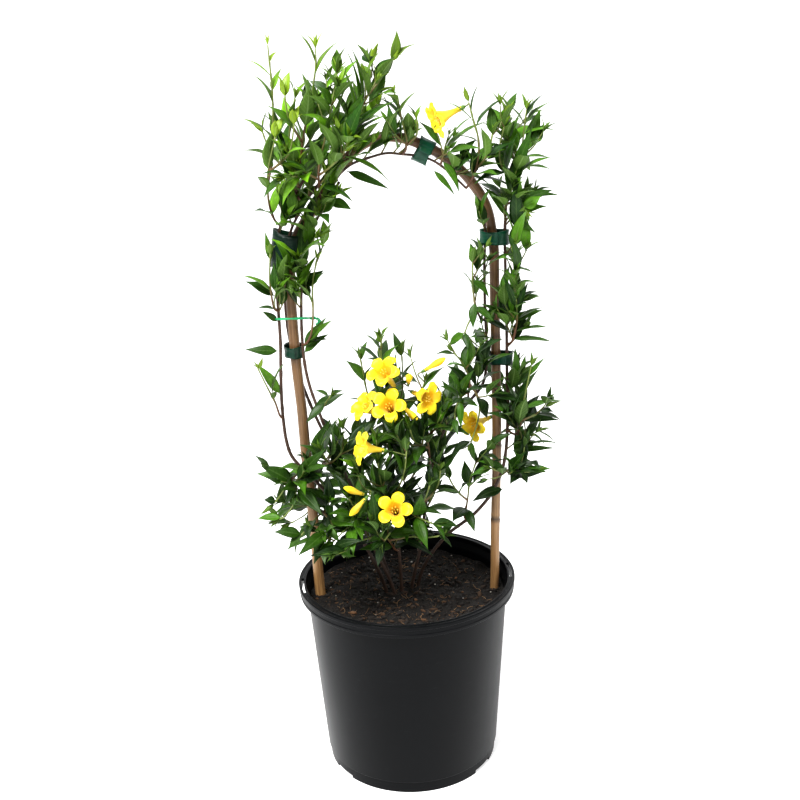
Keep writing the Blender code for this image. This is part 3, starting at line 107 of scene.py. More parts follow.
# The soil
SOIL_TOP = 163.0
SOIL_MOUND = 4.0

# The cane hoop, from the foot of its left leg to the foot of its right leg
CANE_FOOT = 72.0
CANE_ROUTE = (
    (-74, 0, CANE_FOOT), (-77.5, 0, 120), (-81, 0, 165), (-82.5, 0, 220), (-84, 0, 262), (-86, 0, 302),
    (-87, 0, 344), (-89, 0, 382), (-90, 0, 430), (-89, 0, 470), (-82, 0, 497), (-66, 0, 521),
    (-48, 0, 547), (-28, 0, 568), (-6, 0, 577), (18, 0, 573), (46, 0, 558), (66, 0, 538),
    (79, 0, 515), (84, 0, 485), (84.5, 0, 440), (85, 0, 380), (85, 0, 300), (83, 0, 230),
    (81.5, 0, 165), (78.5, 0, 120), (76, 0, CANE_FOOT),
)
CANE_RADII = (4.8, 4.3, 4.0)
CANE_STEP = 22.0

# Woody stems, each from its hole in the soil or from the stem that it branches off.
# name: (stem it grows from or None, radius at the foot, radius at the tip, route)
STEMS = {
    "stem_left_front": (None, 1.7, 1.2, (
        (-17, -7, 118), (-19, -8, 166), (-34, -10, 210), (-56, -12, 252), (-80, -13, 284),
        (-98, -11, 306), (-103, -8, 335), (-103, -7, 370), (-101, -6, 410), (-101, -5, 445),
        (-100, -5, 478), (-94, -7, 508), (-84, -10, 530), (-70, -11, 548),
    )),
    "stem_left_inner": (None, 1.6, 1.1, (
        (-9, -13, 118), (-11, -14, 166), (-24, -17, 205), (-42, -18, 252), (-57, -17, 298),
        (-66, -14, 330), (-78, -8, 368), (-82, -6.5, 400), (-81, -7, 440), (-77, -7, 478),
        (-68, -7, 505), (-55, -9, 526), (-43, -9, 543),
    )),
    "stem_left_back": (None, 1.6, 1.1, (
        (-12, 0, 118), (-14, 0, 166), (-26, 2, 212), (-42, 4, 256), (-60, 6, 298), (-76, 9, 335),
        (-88, 11, 372), (-95, 10, 410), (-96, 9, 450), (-93, 9, 482), (-84, 9, 508),
        (-71, 10, 528), (-56, 10, 546), (-42, 10, 562),
    )),
    "stem_arch": ("stem_left_inner", 1.1, 0.9, (
        (-43, -8, 543), (-34, -9, 556), (-20, -10, 561), (-4, -8, 564.5), (10, -6.5, 563),
        (24, -6.2, 561), (37, -6.4, 555.5), (50, -8, 545), (61, -9, 534),
    )),
    "stem_centre": (None, 1.9, 1.1, (
        (-4, -7, 118), (-5, -8, 166), (-6, -9, 205), (-9, -12, 250), (-10, -13, 292), (-13, -12, 330),
    )),
    "stem_right_inner": (None, 1.6, 1.1, (
        (3, -3, 118), (4, -3, 166), (13, -2, 205), (20, 0, 250), (28, -2, 292), (38, -6, 322),
        (58, -10, 347), (73, -9, 366), (76.5, -7.5, 392), (75.5, -7.5, 430), (75.5, -7, 470),
        (76.5, -7, 497), (75, -8, 514),
    )),
    "stem_right_outer": (None, 1.7, 1.1, (
        (8, 4, 118), (10, 4, 166), (22, 3, 196), (42, -1, 222), (60, -6, 238), (78, -9, 260),
        (90, -9, 288), (94, -7, 325), (94, -6, 370), (94, -6, 415), (93.5, -6, 455),
        (93, -6, 490), (94, -6, 515), (97, -6, 536),
    )),
}
STEM_STEP = 18.0

# Tie bands: (middle, half width, half depth, height, lean in degrees about Y)
BANDS = {
    "tie_shoulder_right": ((84.5, -3.5, 492), 12.5, 10.4, 12.0, 0.0),
    "tie_arch": ((27.0, -2.0, 564.6), 10.4, 9.5, 13.0, 117.0),
    "tie_shoulder_left": ((-89.9, 0.0, 487.7), 14.1, 12.8, 30.0, 10.0),
    "tie_leg_left": ((-90.5, 4.0, 398), 8.8, 11.4, 10.0, 0.0),
    "tie_leg_right": ((89.2, -1.8, 386), 10.6, 8.7, 10.0, 0.0),
}
WIRE_MIDDLE = (-90, 1.0, 427)
WIRE_HALF = (16.5, 14.5)
# The loop dips to the back by this much for each millimetre
WIRE_DIP = 0.237
WIRE_RADIUS = 0.8
WIRE_TAIL = ((-74.5, -2, 427), (-70, -6, 428.5), (-66, -7, 426), (-69, -9, 423))

# The onlooker that the places below are read from: each (x, y, z) is seen at (x, z) on the hoop's
# plane, and lies y behind it along that line of sight.
EYE = (0, -934, 648)

# Open flowers: (shoot that carries it, base of its tube, middle of its mouth)
BLOOMS = {
    "bloom_arch": ("shoot_arch_right", (60, -20, 598), (36, -28, 588)),
    "bloom_upper": ("shoot_centre_top", (-4, -22, 362), (-15, -40, 379)),
    "bloom_middle": ("shoot_centre_top", (-7, -26, 338), (-11, -50, 346)),
    "bloom_middle_left": ("shoot_centre_top", (-16, -14, 334), (-34, -24, 348)),
    "bloom_middle_right": ("shoot_centre_right", (11, -24, 357), (27, -42, 349)),
    "bloom_left": ("shoot_centre_front", (-15, -50, 303), (-38, -58, 307)),
    "bloom_front": ("shoot_centre_front", (-7, -58, 241), (-9, -82, 246)),
    "bloom_right": ("shoot_right_outer", (80, 12, 331), (62, -4, 323)),
}
BLOOM_WIDTH = 31.0
# Closed buds: (shoot, base, tip)
BUDS = {
    "bud_top": ("shoot_centre_top", (8, -26, 365), (9, -42, 373)),
    "bud_top_right": ("shoot_centre_right", (22, -26, 376), (41, -32, 387)),
    "bud_middle": ("shoot_centre_right", (2, -34, 344), (15, -42, 331)),
    "bud_left_high": ("shoot_centre_front", (-35, -60, 261), (-54, -66, 269)),
    "bud_left_low": ("shoot_centre_front", (-34, -66, 258), (-50, -72, 241)),
}

# Leafy shoots: (stem it grows from, leaf length, spread in degrees, droop, routes, leaves placed singly)
# The first route leaves the stem and the others branch off it. A single leaf is
# ((x, z) where it leaves its twig, (x, y, z) of its tip, width).
SHOOTS = {
    "shoot_crown_left": ("stem_left_front", 29, 46, 0.0, (
        ((-94, -7, 508), (-103, -20, 526), (-102, -26, 552), (-94, -28, 580)),
        ((-103, -24, 540), (-97, -16, 570), (-94, -13, 612), (-95, -12, 652)),
        ((-102, -26, 552), (-84, -34, 566), (-78, -36, 590)),
    ), (
        ((-94, 606), (-107, -16, 630), 8.5), ((-94, 606), (-88, -10, 633), 8.0),
        ((-95, 628), (-112, -14, 642), 4.0), ((-95, 630), (-90, -10, 651), 5.0),
        ((-101, 538), (-106, -40, 556), 8.0),
    )),
    "shoot_crown_peak": ("stem_left_front", 35, 34, 0.15, (
        ((-72, -10, 545), (-72, -20, 575), (-64, -20, 606), (-58, -16, 632), (-57, -14, 648)),
        ((-72, -20, 575), (-82, -26, 594), (-84, -26, 612)),
    ), (
        ((-57, 645), (-60, -16, 671), 9.5), ((-58, 636), (-68, -14, 661), 4.5),
        ((-56, 622), (-43, -18, 660), 10.5), ((-64, 602), (-69, -30, 630), 8.0),
        ((-62, 600), (-42, -30, 634), 8.5),
    )),
    "shoot_crown_mid": ("stem_left_inner", 34, 34, 0.1, (
        ((-57, -9, 524), (-60, -24, 552), (-52, -32, 582), (-46, -30, 606), (-41, -24, 628)),
        ((-60, -22, 548), (-48, -34, 556), (-38, -38, 566)),
        ((-60, -20, 545), (-76, -34, 552), (-88, -40, 548)),
    ), (
        ((-57, 540), (-33, -24, 526), 9.0), ((-40, 563), (0, -36, 540), 7.0),
        ((-50, 562), (-38, -52, 572), 11.0),
    )),
    "shoot_crown_right": ("stem_arch", 33, 36, 0.1, (
        ((-34, -9, 556), (-34, -22, 576), (-26, -24, 594), (-19, -20, 608), (-19, -16, 624)),
        ((-19, -20, 608), (-8, -18, 620), (4, -16, 636)),
    ), (
        ((-19, 612), (-8, -18, 650), 8.5), ((-19, 612), (-22, -18, 650), 6.0),
        ((-20, 606), (-32, -20, 647), 5.0), ((-24, 600), (-37, -26, 636), 8.0),
        ((-32, 584), (1, -26, 619), 9.0), ((-34, 574), (-6, -30, 598), 9.0),
    )),
    "shoot_crown_back": ("stem_left_back", 32, 44, 0.05, (
        ((-74, 10, 524), (-84, 24, 552), (-82, 30, 584), (-76, 28, 610)),
        ((-83, 24, 556), (-66, 32, 576), (-54, 30, 598), (-46, 26, 620)),
        ((-84, 24, 552), (-98, 34, 566), (-104, 36, 584)),
        ((-70, 30, 572), (-44, 36, 574), (-26, 34, 588)),
    ), ()),
    "shoot_leg_left_high": ("stem_left_front", 26, 60, 0.0, (
        ((-101, -5, 435), (-106, -12, 443), (-107, -15, 461), (-105, -15, 484)),
    ), (
        ((-106, 452), (-129, -20, 467), 9.0), ((-106, 428), (-119, -16, 438), 6.0),
        ((-105, 480), (-107, -20, 505), 5.5),
    )),
    "shoot_leg_left_inner": ("stem_left_inner", 24, 50, 0.0, (
        ((-82, -7, 404), (-75, -20, 412), (-72, -24, 430), (-71, -22, 455), (-66, -20, 478)),
    ), (
        ((-74, 404), (-62, -26, 431), 8.5), ((-74, 400), (-61, -22, 417), 6.5),
        ((-71, 455), (-62, -22, 469), 10.0), ((-67, 474), (-57, -22, 492), 3.6),
        ((-72, 440), (-88, -34, 462), 9.0),
    )),
    "shoot_leg_left_twig": ("stem_left_front", 15, 35, 0.1, (
        ((-103, -8, 338), (-110, -18, 352), (-116, -22, 366), (-123, -24, 384)),
    ), (
        ((-108, 345), (-124, -28, 396), 10.0), ((-106, 348), (-112, -28, 366), 5.5),
        ((-112, 358), (-100, -30, 388), 8.5),
    )),
    "shoot_leg_left_low": ("stem_left_inner", 24, 45, 0.0, (
        ((-70, -12, 343), (-66, -22, 350), (-61, -26, 356)),
    ), (
        ((-62, 355), (-50, -28, 361), 7.0), ((-66, 350), (-84, -30, 332), 8.0),
        ((-63, 353), (-74, -30, 362), 6.0),
    )),
    "shoot_left_top": ("stem_left_inner", 38, 42, 0.0, (
        ((-56, -17, 292), (-66, -32, 292), (-72, -38, 306)),
        ((-66, -32, 292), (-56, -40, 300), (-52, -42, 308)),
    ), (
        ((-70, 298), (-57, -44, 335), 14.0), ((-54, 300), (-58, -52, 335), 8.0),
        ((-68, 294), (-92, -44, 312), 9.0), ((-56, 300), (-38, -48, 288), 9.0),
    )),
    "shoot_left_outer": ("stem_left_front", 33, 50, -0.1, (
        ((-88, -12, 290), (-100, -26, 280), (-108, -34, 268), (-118, -36, 256)),
        ((-100, -26, 280), (-98, -42, 262), (-104, -52, 248), (-114, -52, 240)),
    ), (
        ((-97, 276), (-127, -36, 293), 12.0), ((-113, 242), (-134, -50, 242), 8.0),
        ((-114, 256), (-127, -38, 260), 7.0),
    )),
    "shoot_left_drop": ("stem_left_front", 31, 55, -0.2, (
        ((-60, -12, 257), (-74, -34, 246), (-86, -46, 234), (-98, -50, 220)),
        ((-74, -34, 246), (-66, -52, 230), (-72, -58, 214)),
    ), (
        ((-98, 220), (-110, -52, 203), 7.0), ((-94, 224), (-120, -54, 228), 9.0),
        ((-90, 229), (-108, -58, 210), 8.0),
    )),
    "shoot_left_low": ("stem_left_inner", 32, 50, -0.15, (
        ((-33, -17, 229), (-46, -40, 232), (-56, -54, 226), (-66, -60, 216)),
        ((-46, -40, 232), (-44, -56, 246), (-50, -62, 258)),
    ), ()),
    "shoot_left_back": ("stem_left_back", 33, 52, 0.0, (
        ((-58, 6, 294), (-72, 24, 292), (-84, 32, 284), (-98, 36, 276)),
        ((-72, 24, 292), (-62, 34, 306), (-60, 38, 320)),
        ((-76, 28, 290), (-78, 38, 262), (-90, 42, 244), (-104, 42, 236)),
    ), ()),
    "shoot_centre_top": ("stem_centre", 31, 42, 0.0, (
        ((-12, -13, 320), (-16, -10, 352), (-15, -14, 378), (-15, -14, 402)),
        ((-14, -11, 334), (-27, 4, 352), (-31, 2, 374), (-33, 0, 388)),
        ((-13, -12, 330), (0, -4, 350), (3, -4, 372), (3, -6, 390)),
    ), (
        ((-15, 396), (-14, -20, 421), 9.0), ((-15, 396), (-27, -16, 411), 5.0),
        ((3, 386), (3, -12, 406), 10.0), ((3, 368), (16, -14, 386), 10.0),
        ((3, 362), (-9, -12, 388), 9.0), ((-31, 374), (-35, 0, 401), 9.0),
    )),
    "shoot_centre_front": ("stem_centre", 32, 48, -0.05, (
        ((-9, -12, 240), (-15, -36, 256), (-20, -50, 272), (-22, -54, 292)),
        ((-15, -36, 256), (-28, -50, 260), (-38, -56, 272), (-42, -56, 288)),
        ((-14, -34, 254), (-4, -50, 268), (2, -54, 284), (4, -54, 302)),
    ), (
        ((-42, 286), (-52, -60, 312), 9.0),
    )),
    "shoot_centre_right": ("stem_right_inner", 32, 46, 0.0, (
        ((26, -2, 285), (24, -20, 304), (20, -26, 326), (18, -24, 348), (22, -22, 366)),
        ((22, -23, 315), (36, -30, 328), (40, -32, 344)),
        ((24, -20, 304), (12, -38, 310), (8, -44, 322)),
    ), (
        ((20, 358), (39, -24, 383), 9.5), ((21, 364), (30, -18, 392), 6.0),
    )),
    "shoot_centre_front_right": ("stem_centre", 32, 50, -0.1, (
        ((-8, -11, 232), (6, -34, 242), (18, -46, 252), (24, -50, 268)),
        ((6, -34, 242), (14, -52, 236), (26, -58, 230)),
        ((16, -44, 250), (30, -44, 264), (34, -46, 282)),
    ), ()),
    "shoot_centre_low": ("stem_centre", 30, 55, -0.2, (
        ((-6, -9, 206), (-18, -34, 218), (-32, -48, 218), (-46, -56, 214)),
        ((-18, -34, 218), (-14, -56, 222), (-20, -66, 214)),
        ((-14, -28, 216), (6, -42, 218), (20, -50, 216), (32, -54, 218)),
    ), ()),
    "shoot_centre_back": ("stem_right_inner", 33, 48, 0.0, (
        ((12, -2, 202), (10, 26, 232), (2, 42, 268), (-6, 48, 304), (-10, 46, 332)),
        ((10, 26, 232), (26, 38, 256), (34, 42, 286), (40, 40, 318), (46, 34, 346)),
        ((2, 42, 268), (16, 52, 290), (20, 52, 318)),
    ), ()),
    "shoot_centre_back_left": ("stem_left_back", 33, 50, 0.0, (
        ((-24, 2, 208), (-34, 22, 228), (-42, 38, 254), (-44, 44, 286), (-38, 42, 314)),
        ((-34, 22, 228), (-52, 34, 226), (-68, 38, 232)),
        ((-40, 32, 246), (-24, 44, 262), (-20, 46, 286)),
    ), ()),
    "shoot_right_low": ("stem_right_outer", 24, 52, -0.05, (
        ((56, -5, 234), (58, -18, 252), (60, -22, 270), (66, -24, 288)),
        ((58, -18, 252), (48, -26, 262), (42, -28, 274)),
    ), (
        ((58, 244), (44, -36, 232), 12.0), ((58, 246), (64, -30, 220), 8.0),
    )),
    "shoot_right_inner": ("stem_right_inner", 28, 50, 0.0, (
        ((60, -9, 349), (62, -20, 362), (58, -26, 378), (48, -28, 392)),
        ((62, -20, 362), (70, -26, 346), (68, -32, 326), (62, -34, 308)),
        ((61, -16, 356), (50, -28, 346), (48, -34, 330)),
    ), (
        ((50, 390), (32, -30, 391), 6.0), ((50, 390), (42, -30, 403), 6.0),
    )),
    "shoot_right_outer": ("stem_right_outer", 32, 50, 0.0, (
        ((94, -7, 318), (104, -18, 314), (108, -24, 336), (112, -24, 358), (116, -22, 376)),
        ((104, -18, 314), (104, 4, 322), (106, 18, 342), (106, 22, 366)),
        ((107, -22, 326), (120, -22, 332), (128, -20, 338)),
    ), (
        ((112, 336), (143, -22, 345), 7.0), ((120, 332), (143, -26, 326), 8.5),
        ((113, 362), (125, -22, 384), 6.0),
    )),
    "shoot_right_drop": ("stem_right_outer", 33, 55, -0.1, (
        ((88, -9, 281), (100, -18, 284), (106, -24, 294), (110, -24, 306)),
        ((100, -18, 284), (92, -34, 278), (80, -40, 282)),
        ((100, -18, 284), (108, -30, 278), (118, -32, 278)),
    ), (
        ((112, 277), (129, -32, 277), 9.0), ((110, 302), (141, -24, 304), 4.5),
        ((106, 282), (114, -36, 268), 9.0), ((88, 279), (66, -44, 282), 9.0),
    )),
    "shoot_leg_right_outer": ("stem_right_outer", 27, 62, -0.08, (
        ((94, -6, 398), (101, -14, 404), (104, -16, 424), (102, -16, 450), (101, -14, 476)),
    ), (
        ((104, 418), (126, -20, 429), 7.0), ((103, 408), (131, -20, 412), 6.0),
        ((102, 400), (134, -18, 399), 7.5), ((103, 436), (121, -20, 443), 7.5),
        ((102, 450), (121, -18, 451), 4.0), ((102, 464), (118, -18, 460), 4.5),
        ((101, 472), (114, -20, 485), 5.5),
    )),
    "shoot_leg_right_inner": ("stem_right_inner", 25, 50, 0.05, (
        ((76, -8, 420), (69, -18, 428), (66, -22, 448), (66, -20, 470)),
        ((69, -18, 428), (62, -24, 418), (58, -26, 408)),
    ), (
        ((66, 462), (61, -24, 497), 5.0), ((66, 446), (60, -26, 462), 7.0),
        ((68, 436), (64, -26, 411), 7.0), ((66, 456), (80, -34, 440), 8.5),
        ((68, 432), (84, -34, 418), 8.0),
    )),
    "shoot_arch_right": ("stem_arch", 31, 42, 0.05, (
        ((66, -9, 530), (70, -20, 548), (73, -22, 568), (69, -22, 586), (65, -20, 602)),
        ((70, -20, 548), (80, -26, 560), (84, -26, 576)),
    ), (
        ((70, 582), (94, -24, 605), 8.5), ((67, 594), (62, -22, 614), 6.0),
        ((67, 594), (73, -22, 616), 4.0), ((69, 586), (50, -26, 605), 5.0),
        ((72, 562), (54, -30, 548), 7.5), ((72, 570), (56, -26, 576), 4.0),
    )),
    "shoot_shoulder_right": ("stem_right_outer", 33, 48, -0.05, (
        ((95, -6, 519), (104, -9, 535), (108, -10, 562), (112, -10, 594)),
        ((103, -9, 540), (92, -18, 548), (90, -22, 566), (94, -22, 582)),
        ((103, -9, 540), (104, -18, 524), (110, -22, 514)),
        ((106, -10, 552), (102, 10, 560), (100, 22, 576), (98, 26, 592)),
    ), (
        ((112, 588), (125, -10, 606), 6.0), ((111, 582), (131, -12, 600), 7.5),
        ((109, 575), (136, -14, 578), 8.0), ((107, 556), (133, -14, 555), 7.0),
        ((106, 548), (133, -16, 546), 7.0), ((108, 520), (134, -18, 529), 7.0),
        ((110, 516), (124, -24, 524), 9.0), ((108, 517), (118, -26, 494), 7.0),
        ((109, 582), (96, -12, 600), 6.0),
    )),
    "shoot_arch_left": ("stem_arch", 22, 40, 0.05, (
        ((10, -8, 560), (14, -18, 570), (11, -20, 586), (8, -20, 600)),
        ((14, -18, 570), (22, -20, 578), (22, -20, 590)),
    ), (
        ((8, 596), (22, -20, 612), 7.0), ((9, 590), (-3, -20, 612), 7.5),
        ((8, 598), (8, -22, 618), 4.0),
    )),
    "shoot_arch_middle": ("stem_arch", 24, 45, 0.0, (
        ((40, -7, 552), (44, -18, 564), (48, -20, 576)),
    ), (
        ((43, 560), (57, -26, 583), 7.5), ((44, 566), (66, -26, 584), 7.0),
        ((42, 556), (56, -22, 530), 6.5),
    )),
}
TWIG_STEP = 6.0
TWIG_ROOM = 0.25
TWIG_RADII = (1.1, 0.8)
FIRST_LEAF = 13.0
INTERNODE = 27.0
JOINT_HALF = 0.8
JOINT_REACH = 4.0
JOINT_SHIFTS = (0, -4.5, 4.5, -9, 9)
LEAF_SLENDERNESS = 0.32
LEAF_ARCH = 0.06
LEAF_FOLD = 0.28
LEAF_THICKNESS = 1.1
LEAF_ROOM = 0.45
# The share of the way to a leaf's widest place past which it stands clear of its own twig too
PAST_ROOT = 0.55
# How far along the blade, the share of its full half width there
LEAF_OUTLINE = ((0.36, 1.0), (0.72, 0.68))
SHORT_LEAF = 24.0
SHORT_OUTLINE = ((0.48, 1.0),)
# Nothing hangs in the gap of the hoop
WINDOW = ((-47, -25, 432), (54, 25, 514))


def mm(place):
    return Vector(place) * MM


def seen(place):
    """The point y behind the hoop's plane that the onlooker sees at (x, z) on that plane."""
    x, y, z = place
    eye = mm(EYE)
    return eye + (mm((x, 0, z)) - eye) * ((y * MM - eye.y) / -eye.y)


def view_of(point):
    """Where the onlooker sees a point on the hoop's plane."""
    eye = mm(EYE)
    hit = eye + (point - eye) * (-eye.y / (point.y - eye.y))
    return Vector((hit.x, hit.z))


def smooth(points, step):
    """Points about a step apart on a smooth curve through the given ones."""
    ends = [points[0] * 2 - points[1], *points, points[-1] * 2 - points[-2]]
    route = [points[0].copy()]
    for a, b, c, d in zip(ends, ends[1:], ends[2:], ends[3:]):
        count = max(1, round((c - b).length / (step * MM)))
        for k in range(1, count + 1):
            t = k / count
            route.append((b * 2 + (c - a) * t + (a * 2 - b * 5 + c * 4 - d) * t**2
                          + (b * 3 - a - c * 3 + d) * t**3) * 0.5)
    return route


def taper(route, first, last):
    return [(first + (last - first) * k / (len(route) - 1)) * MM for k in range(len(route))]


def along(route, distance):
    """The place and direction that far along a route, and past its end the end itself."""
    for a, b in zip(route, route[1:]):
        run = (b - a).length
        if distance <= run:
            return a.lerp(b, distance / run), (b - a).normalized()
        distance -= run
    return route[-1].copy(), (route[-1] - route[-2]).normalized()


def route_length(route):
    return sum((b - a).length for a, b in zip(route, route[1:]))


def nearest(route, point):
    """The point of a route nearest to another, the direction there and its share of the route."""
    best = None
    for k, (a, b) in enumerate(zip(route, route[1:])):
        run = b - a
        share = min(1.0, max(0.0, (point - a).dot(run) / run.length_squared))
        foot = a + run * share
        if best is None or (point - foot).length < best[0]:
            best = ((point - foot).length, foot, run.normalized(), (k + share) / (len(route) - 1))
    return best[1:]


def crossways(route):
    """Each point of a route with its number and two directions across it, turned as little as can be."""
    normal = (route[1] - route[0]).normalized().orthogonal().normalized()
    for k, place in enumerate(route):
        before, after = route[max(0, k - 1)], route[min(len(route) - 1, k + 1)]
        tangent = (after - before).normalized()
        normal = (normal - tangent * normal.dot(tangent)).normalized()
        yield k, place, normal, tangent.cross(normal)


def pipe(route, radii, sides=8):
    """The points and triangles of a closed round tube, for keeping pieces clear of each other."""
    points, faces = [], []
    for k, place, normal, other in crossways(route):
        for side in range(sides):
            turn = math.tau * side / sides
            points.append(place + (normal * math.cos(turn) + other * math.sin(turn)) * radii[k])
    for k in range(len(route) - 1):
        for side in range(sides):
            a, b = k * sides + side, k * sides + (side + 1) % sides
            faces += [(a, b, b + sides), (a, b + sides, a + sides)]
    last = (len(route) - 1) * sides
    for side in range(1, sides - 1):
        faces += [(0, side + 1, side), (last, last + side, last + side + 1)]
    return points, faces


def blade_sections(base, tip, up, width, grow=0.0):
    """The folded cross-sections of a leaf, each left edge, ridge, right edge and keel, and its point."""
    run = tip - base
    axis = run.normalized()
    across = axis.cross(up).normalized()
    face = across.cross(axis)
    sections = []
    for share, full in (LEAF_OUTLINE if run.length > SHORT_LEAF * MM else SHORT_OUTLINE):
        middle = base + run * share + face * (LEAF_ARCH * run.length * 4 * share * (1 - share))
        half = full * width / 2 + grow
        thick = LEAF_THICKNESS / 2 * MM + grow
        edge = face * (half * LEAF_FOLD)
        sections.append([middle - across * half + edge, middle + face * thick,
                         middle + across * half + edge, middle - face * thick])
    root = [base - across * 0.7 * MM, base + face * 0.5 * MM, base + across * 0.7 * MM,
            base - face * 0.5 * MM]
    return root, sections, tip + axis * grow


def leaf_skin(rings, end):
    """The triangles round a leaf's cross-sections, split alike on both faces, up to its point."""
    faces = []
    for a, b in zip(rings, rings[1:]):
        for ridge, edge in ((1, 0), (3, 2)):
            faces += [(a[ridge], b[edge], a[edge]), (a[ridge], b[ridge], b[edge])]
        for ridge, edge in ((1, 2), (3, 0)):
            faces += [(a[ridge], a[edge], b[edge]), (a[ridge], b[edge], b[ridge])]
    a = rings[-1]
    return faces + [(a[0], a[1], end), (a[1], a[2], end), (a[2], a[3], end), (a[3], a[0], end)]


def blade(base, tip, up, width, grow=0.0, start=0.0):
    """The points and triangles of one leaf, or of what lies past its root, for keeping it clear."""
    root, sections, end = blade_sections(base, tip, up, width, grow)
    first = [a.lerp(b, start) for a, b in zip(root, sections[0])]
    points = [p for ring in [first, *sections] for p in ring] + [end]
    rings = [range(k, k + 4) for k in range(0, len(points) - 1, 4)]
    return points, leaf_skin(rings, len(points) - 1) + [(0, 2, 1), (0, 3, 2)]


class Room:
    """What is placed so far, so that the next piece can be kept clear of it."""

    def __init__(self):
        self.things = []

    def add(self, owner, shape):
        points, faces = shape
        low = [min(p[k] for p in points) for k in range(3)]
        high = [max(p[k] for p in points) for k in range(3)]
        self.things.append((owner, low, high, BVHTree.FromPolygons(points, faces)))

    def meets(self, shape, skip):
        """The owner of the first thing that a shape crosses, or None."""
        points, faces = shape
        low = [min(p[k] for p in points) for k in range(3)]
        high = [max(p[k] for p in points) for k in range(3)]
        tree = None
        for owner, floor, ceiling, other in self.things:
            if owner in skip or any(low[k] > ceiling[k] or high[k] < floor[k] for k in range(3)):
                continue
            tree = tree or BVHTree.FromPolygons(points, faces)
            if tree.overlap(other):
                return owner
        return None


def cane():
    """The hoop's centre line and its radius at each point."""
    route = smooth([mm(p) for p in CANE_ROUTE], CANE_STEP)
    half = len(route) // 2
    left, top, right = CANE_RADII
    radii = taper(route[:half + 1], left, top)[:-1] + taper(route[half:], top, right)
    return route, radii


def stem_routes():
    """Each woody stem's centre line and radii, a branching one starting clear of what carries it."""
    stems = {}
    for name, (parent, foot, tip, places) in STEMS.items():
        points = [mm(p) for p in places]
        if parent:
            carrier, carrier_radii = stems[parent]
            points[0], bend = leave(carrier, carrier_radii, points[0], points[1])
            points.insert(1, bend)
        route = smooth(points, STEM_STEP)
        stems[name] = (route, taper(route, foot, tip))
    return stems


def leave(carrier, radii, place, toward):
    """Where a shoot that grows from a stem begins, just clear of its bark, and its first bend."""
    foot, direction, share = nearest(carrier, place)
    radius = radii[round(share * (len(radii) - 1))]
    out = toward - foot
    out = (out - direction * out.dot(direction)).normalized()
    return foot + out * (radius + (CLEAR + 0.1) * MM), foot + out * (radius + 3.0 * MM)


def bloom_shape(base, mouth, grow=0.0):
    """A funnel round a whole flower, for keeping other pieces clear of it."""
    axis = (mouth - base).normalized()
    reach = (mouth - base).length
    route = [base + axis * (reach * share) for share in (-0.02, 0.35, 0.68, 0.98, 1.06)]
    radii = [1.9 * MM, 2.3 * MM, 5.2 * MM, BLOOM_WIDTH * 0.5 * MM, BLOOM_WIDTH * 0.5 * MM]
    return pipe(route, [r + grow for r in radii], 10)


def bud_route(base, tip):
    """The centre line and radii of a closed bud, fullest two thirds of the way up."""
    shares = (0.0, 0.3, 0.66, 0.88, 1.0)
    radii = (1.3, 1.6, 3.0, 2.1, 0.5)
    return [base.lerp(tip, share) for share in shares], [r * MM for r in radii]


def band_route(name):
    """The axis of a tie band, from its lower to its upper edge, and the turn of its oval."""
    middle, _, _, height, lean = BANDS[name]
    turn = Matrix.Rotation(math.radians(lean), 3, "Y")
    rise = turn @ Vector((0, 0, height * MM / 2))
    return mm(middle) - rise, mm(middle) + rise, turn


def band_shape(name):
    """The filled outside of a tie band, for keeping leaves clear of it."""
    low, high, turn = band_route(name)
    _, wide, deep, _, _ = BANDS[name]
    points, faces = pipe([low, high], [1.0, 1.0], 12)
    for k, end in enumerate((low, high)):
        for side in range(12):
            angle = math.tau * side / 12
            offset = Vector((math.cos(angle) * wide, math.sin(angle) * deep, 0)) * 1.05 * MM
            points[k * 12 + side] = end + turn @ offset
    return points, faces


def box_shape(low, high):
    low, high = mm(low), mm(high)
    points = [Vector((x, y, z)) for z in (low.z, high.z) for y in (low.y, high.y)
              for x in (low.x, high.x)]
    quads = ((0, 1, 3, 2), (4, 6, 7, 5), (0, 4, 5, 1), (2, 3, 7, 6), (0, 2, 6, 4), (1, 5, 7, 3))
    return points, quads


def lay_routes(room, stems):
    """Each shoot's twigs, in clear space, before any leaf is placed."""
    shoots = {}
    for name, (parent, _, _, _, routes, _) in SHOOTS.items():
        rng = random.Random(name)
        twigs = []
        for number, places in enumerate(routes):
            points = [seen(p) for p in places]
            for attempt in range(60):
                shift = 0.5 * attempt * MM
                bent = [points[0]] + [p + Vector([rng.uniform(-shift, shift) for _ in range(3)])
                                      for p in points[1:]]
                if number:
                    carrier, spot, bent[0] = nearest_twig(twigs, bent[0])
                else:
                    bent[0], bend = leave(*stems[parent], bent[0], bent[1])
                    bent.insert(1, bend)
                route = smooth(bent, TWIG_STEP)
                radii = taper(route, *TWIG_RADII)
                fat = pipe(route, [r + TWIG_ROOM * MM for r in radii], 6)
                if not room.meets(fat, own_twigs(name, number)):
                    break
            for k in range(len(route) - 1):
                room.add(f"{name}/{number}:{k}", pipe(route[k:k + 2], radii[k:k + 2], 6))
            twigs.append({"route": route, "radii": radii, "joints": [], "forks": []})
            if number:
                carrier["forks"].append(spot)
        shoots[name] = twigs
    return shoots


def own_twigs(name, count):
    """What a shoot's first few twigs are called in the room."""
    return {f"{name}/{twig}:{k}" for twig in range(count) for k in range(99)}


def nearest_twig(twigs, point):
    """The twig that passes nearest to a point, how far along it that is, and the place there."""
    best = None
    for twig in twigs:
        route = twig["route"]
        place, _, share = nearest(route, point)
        k = min(len(route) - 2, int(share * (len(route) - 1)))
        spot = route_length(route[:k + 1]) + (place - route[k]).length
        if best is None or (place - point).length < best[0]:
            best = ((place - point).length, twig, spot, place)
    return best[1:]


